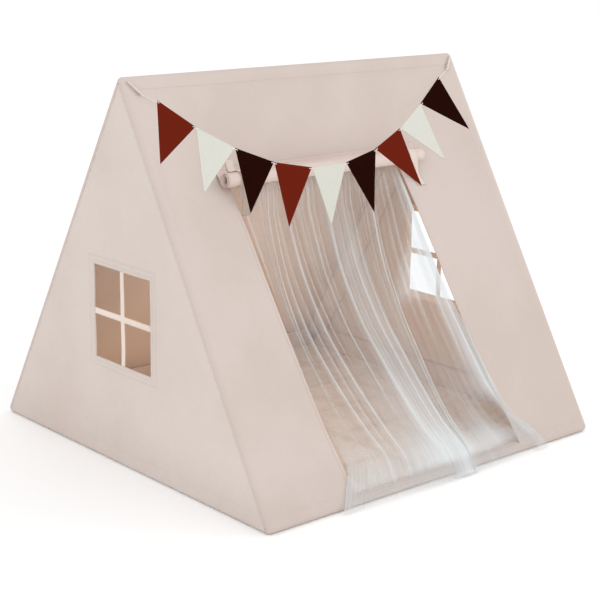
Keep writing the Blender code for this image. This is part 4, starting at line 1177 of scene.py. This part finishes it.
# Folds that stand out: place across, width, height, density, where down its length each one starts and ends
CURTAIN_FOLDS = [
    (-0.97, 0.014, 0.5, 0.22, 0.00, 0.42), (-0.88, 0.007, 0.3, 0.14, 0.00, 0.30),
    (-0.70, 0.008, 0.4, 0.16, 0.02, 0.50), (-0.61, 0.009, 0.6, 0.24, 0.04, 0.62),
    (-0.545, 0.008, 1.0, 0.34, 0.06, 1.10), (-0.50, 0.006, 0.5, 0.24, 0.10, 0.95),
    (-0.43, 0.010, 1.0, 0.36, 0.06, 1.00), (-0.36, 0.006, 0.4, 0.18, 0.02, 0.66),
    (-0.27, 0.007, 0.5, 0.22, 0.00, 0.52), (-0.21, 0.006, 0.3, 0.16, 0.02, 0.60),
    (-0.14, 0.009, 0.8, 0.28, 0.02, 0.86), (-0.05, 0.006, 0.4, 0.18, 0.00, 0.58),
    (0.10, 0.024, 0.9, 0.26, 0.05, 0.98), (0.20, 0.008, 0.4, 0.16, 0.00, 0.70), (0.31, 0.014, 0.7, 0.22, 0.00, 1.00),
    (0.41, 0.012, 0.9, 0.28, 0.00, 1.05), (0.53, 0.006, 0.4, 0.16, 0.00, 0.55), (0.60, 0.006, 0.5, 0.20, 0.00, 0.70),
    (0.67, 0.010, 1.0, 0.40, 0.04, 1.20), (0.715, 0.007, 0.7, 0.30, 0.10, 1.05), (0.80, 0.006, 0.4, 0.18, 0.02, 0.58),
    (0.86, 0.007, 0.5, 0.24, 0.04, 0.64), (0.93, 0.008, 0.5, 0.22, 0.04, 0.74), (0.980, 0.022, 0.6, 0.48, 0.06, 1.20),
]
CURTAIN_COLUMNS, CURTAIN_ROWS = 621, 112


def curtain_mesh():
    shares, outs, sides, *others = (list(column) for column in zip(*CURTAIN_PATH))
    ups = [DOOR_SILL + share * DOOR_RISE for share in shares]
    outs[0] = -float(sag(0.0, ups[0])) - 0.009
    sides = [-0.93 * float(sag_up(s)) - 0.006 if side is None else side for side, s in zip(sides, ups)]
    run = run_along(np.array([ups, outs]).T)
    t = np.linspace(0, 1, CURTAIN_ROWS)[:, None]
    u = np.linspace(-1, 1, CURTAIN_COLUMNS)[None, :]
    s, out, beside, left, right, depth = (eased(run, values)(t * run[-1]) for values in (ups, outs, sides, *others))
    # The cloth is drawn together to the right of its middle on the way down
    lean = u + eased(*zip(*CURTAIN_DRAWN))(u) * t ** 0.85 - 0.13 * np.sin(math.pi * t) * hump(u, -0.60, 0.16)
    packed = np.clip(np.gradient(u[0])[None, :] / np.maximum(np.gradient(lean, axis=1), 1e-4), 0.3, 3.0)
    top, low = 1 - between(t, 0.0, 0.14), between(t, 0.80, 0.96)
    full = depth * np.clip(0.20 * np.minimum(packed, 1.5) + 0.55 * top + 0.05, 0.14, 1.1) * (1 - 0.35 * low)
    full = full * (0.45 + 0.75 * between(crinkle(13, 0.22, 0.90, 6)(u, t), -0.8, 1.0) + 0.3 * top)
    wide, fine = crinkle(5, 0.09, 0.34, 9)(u, t), crinkle(8, 0.016, 0.06, 14)(u, t)
    # Fine folds fade out where the cloth is drawn together and towards the hem
    combed = (1 - 0.45 * between(t, 0.25, 0.75)) * (1 - 0.60 * between(packed, 1.05, 1.7) * between(t, 0.30, 0.60))
    edge = np.clip((1 - np.abs(u)) / 0.04, 0, 1)
    ridge = dense = 0.0
    for place, width, height, density, start, stop in CURTAIN_FOLDS:
        here = between(t, start - 0.03, start + 0.07) * (1 - between(t, stop - 0.22, stop))
        spread = width * (1 + 0.5 * t)
        place = place + 0.006 * np.sin(5 * t + 40 * place)
        ridge = ridge + height * hump(u, place, spread * 1.6) * here
        thread = hump(u, place, spread * 0.55) * 0.75 + hump(u, place - 0.006, spread * 1.5) * 0.45
        dense = dense + density * thread * here
    x = (left + right) / 2 + (right - left) / 2 * lean
    x = x + full * edge * 0.55 * crinkle(21, 0.016, 0.06, 10)(u + 0.4, t)
    h = out + (beside - out) * np.abs(u) ** 2.5 + full * (1.15 * fine * combed + 1.7 * wide * (0.4 + 0.6 * edge))
    h = h + 0.0055 * ridge * (0.35 + 0.65 * edge) * (1 - 0.55 * between(t, 0.70, 0.90))
    # Inside the cover down to the foot of the doorway, then out over the sill and in front of the cover
    s = s + 0 * u
    skin = -sag(x, s)
    inner = skin - CLOTH - 0.0006
    h = h * (1 - top) + top * (np.minimum(h + (inner - out) - 0.006, inner))
    h = np.where(s > DOOR_TOP - 0.004, np.minimum(h, inner), h)
    # Its right edge comes out over the doorway's edge at mid height, its left edge only near the sill
    foot = np.where(x > 0, DOOR_SILL + 0.56 * DOOR_RISE, DOOR_SILL + 0.130)
    h = np.where((np.abs(x) > DOOR_HALF - 0.008) & (s > foot), np.minimum(h, inner), h)
    in_front = skin + 0.0028 + 0.0008 * (1 + fine)
    beside_edge = np.maximum(DOOR_HALF - 0.004 - np.abs(x), 0.0)
    h = np.where((beside_edge < 0.02) & (s <= foot), np.maximum(h, in_front - 1.2 * beside_edge), h)
    h = np.maximum(h, in_front - 1.3 * np.maximum(s - DOOR_SILL - 0.012, 0.0))
    points = slope_place(x, s, h)
    # The flat cloth: its width and length are the mean steps across and down, added up
    across, down = (
        np.concatenate([[0], np.cumsum(np.linalg.norm(np.diff(points, axis=way), axis=2).mean(axis=1 - way))])
        for way in (1, 0)
    )
    mesh = rows_mesh((points[::-1], together(across[None, :], down[:, None])[::-1]))
    # How dense the net looks: where it is drawn together, on its folds, under the header and on the mat
    net = 0.14 + 0.07 * np.clip(packed - 0.6, 0, 2) + 1.15 * dense * (1 - 0.40 * low) + 0.20 * top
    net = net + 0.04 * np.clip(fine, -1, 2) * (1 - low)
    net = net + 0.20 * (between(u, 0.03, 0.14) - between(u, 0.40, 0.50)) * between(t, 0.04, 0.30)
    slanted = 1.0 - 1.4 * (t - 0.19)
    net = net + 0.24 * between(u, slanted - 0.01, slanted + 0.10) * (1 - between(t, 0.42, 0.48))
    net = net + low * (0.29 + 0.14 * hump(lean, 0.08, 0.42)) + 0.24 * hump(lean, -0.04, 0.28) * between(t, 0.50, 0.85)
    net = net + 0.07 * between(lean, 0.30, 0.60) * between(t, 0.50, 0.75)
    inside = between(lean, 0.36, 0.56) * (1 - between(lean, 0.80, 0.94))
    net = net + 0.08 * inside * between(t, 0.60, 0.82) * (1 - between(t, 0.88, 0.92))
    net = net - 0.40 * between(u, 0.87, 0.95) * between(t, 0.76, 0.86)
    heap = between(t, 0.88 + 0.02 * np.sin(9 * lean), 0.92) * (1 - between(t, 0.93, 0.96))
    net = net + 0.20 * hump(lean, 0.60, 0.28) * heap
    # Only a few gathered parts of the hem hang down over the sill
    parts = ((1.0, 0.13, 0.09), (1.0, -0.97, 0.12), (0.8, 0.93, 0.09), (0.4, 0.42, 0.03))
    hanging = np.clip(sum(share * hump(lean, middle, width) for share, middle, width in parts), 0, 1)
    net = np.clip(net, 0.08, 0.90) * (1 - (0.60 - 0.45 * hanging) * between(t, 0.935, 0.970))
    for name, values in (("gathered", net), ("combed", combed)):
        layer = mesh.attributes.new(name, "FLOAT", "POINT")
        layer.data.foreach_set("value", values[::-1].ravel().astype(np.float32))
    return mesh


curtain = piece("tulle_curtain", curtain_mesh(), TULLE, ["curtain"])
declare_sheet(curtain)
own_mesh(curtain)


# Floor mat: flat underneath, quilted on top
def quilted_mat():
    rim = MAT_THICK - MAT_CHANNEL
    beside = math.sqrt(POLE_RADIUS ** 2 - (AXIS_Z - rim) ** 2) + GAP
    width, depth = 2 * (AXIS_X - beside), 2 * (AXIS_Y - beside)
    graph = Recipe(Width=width, Depth=depth, Rim=rim, Crown=MAT_CHANNEL, Pads=MAT_PADS, Seed=6, Finish=MAT_CLOTH)
    given = graph.given
    block = graph.take("GeometryNodeMeshCube", {
        "Size": graph.vector(given["Width"], given["Depth"], given["Rim"]),
        "Vertices X": 169, "Vertices Y": 169, "Vertices Z": 2,
    })
    here = graph.take("GeometryNodeInputPosition")
    x, y, z = graph.split(here)
    shares = (x / given["Width"], y / given["Depth"])
    across, along = ((share + 0.5) * given["Pads"] * math.pi for share in shares)
    crown = abs(across.sine()) * abs(along.sine())
    loose = {"Vector": here, "W": given["Seed"] * 1.0, "Scale": 11.0, "Detail": 3.0}
    loose = graph.take("ShaderNodeTexNoise", loose, noise_dimensions="4D")
    full = (crown ** 0.5) * given["Crown"] * (0.80 + 0.40 * loose).kept(0.0, 1.0)
    raised = graph.vector(0.0, 0.0, given["Rim"] / 2 + (z > 0.0) * full)
    solid = graph.take("GeometryNodeSetPosition", {"Geometry": block, "Offset": raised})
    mesh = graph.run_on(bpy.data.meshes.new("mesh"), solid)
    mat = piece("quilted_mat", mesh, MAT_CLOTH, ["floor_mat"])
    lines, ends, height = [], np.linspace(-0.495, 0.495, 60), rim + 0.0002
    for place in (k / MAT_PADS - 0.5 for k in range(1, MAT_PADS)):
        lines.append(together(place * width, ends * depth, height))
        lines.append(together(ends * width, place * depth, height))
    sewn("mat_stitches", lines, 13, THREAD_LIGHT, 0.0060, 0.0040, 0.0004)


quilted_mat()

# Frame tubes and fittings keep their solids and get their finish
for name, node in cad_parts.items():
    if name.startswith(("pole_", "fitting_")):
        for slot in node.material_slots:
            slot.material = PLASTIC


# Camera at the photograph's place; floor, light and surroundings
def studio():
    scene = bpy.context.scene
    lens = bpy.data.cameras.new("camera")
    lens.lens, lens.sensor_width = 90.64, 36
    lens.clip_start, lens.clip_end = 0.1, 100
    back = Vector((-0.6385537, -0.72751598, 0.25093758))
    right = Vector(Z_WAY).cross(back).normalized()
    turn = Matrix((right, back.cross(right), back)).transposed().to_4x4()
    roll = Matrix.Rotation(math.radians(0.760), 4, "Z")
    scene.camera = placed("camera", lens)
    scene.camera.matrix_world = Matrix.Translation((-2.754770, -3.156252, 1.451264)) @ turn @ roll

    corners = ((-14, -14), (14, -14), (14, 14), (-14, 14))
    floor = new_mesh([(x, y, -0.0006) for x, y in corners], [(0, 1, 2, 3)])
    floor.materials.append(floor_finish("studio_floor"))
    placed("studio_floor", floor)
    scene.world = bpy.data.worlds.new("studio")
    scene.world.use_nodes = True
    for label, value in (("Color", (1.0, 1.0, 1.0, 1.0)), ("Strength", 1.0)):
        scene.world.node_tree.nodes["Background"].inputs[label].default_value = value
    # Daylight that the canvas lets through, and what the mat throws back up
    for name, kind, height, turn, power, width, size in (
        ("through_canvas", "POINT", 0.33, 0.0, 0.95, "shadow_soft_size", 0.20),
        ("off_the_mat", "AREA", 0.016, math.pi, 1.50, "size", 1.0),
    ):
        glow = bpy.data.lights.new(name, kind)
        glow.energy, glow.color = power, (1.0, 0.71, 0.48)
        setattr(glow, width, size)
        holder = placed(name, glow)
        holder.location, holder.rotation_euler = (0.0, 0.02, height), (turn, 0.0, 0.0)
        holder.visible_camera = False
    for name, place, size, power in (("key", (-2.7, -3.3, 2.6), 2.8, 19.0), ("fill", (3.2, -2.4, 2.2), 2.4, 22.0)):
        light = bpy.data.lights.new(name, "AREA")
        light.size, light.energy = size, power
        holder = placed(name, light)
        holder.rotation_mode, holder.location = "QUATERNION", place
        holder.rotation_quaternion = (Vector((0, 0, 0.4)) - Vector(place)).to_track_quat("-Z", "Y")
    scene.view_settings.view_transform = "Standard"


studio()
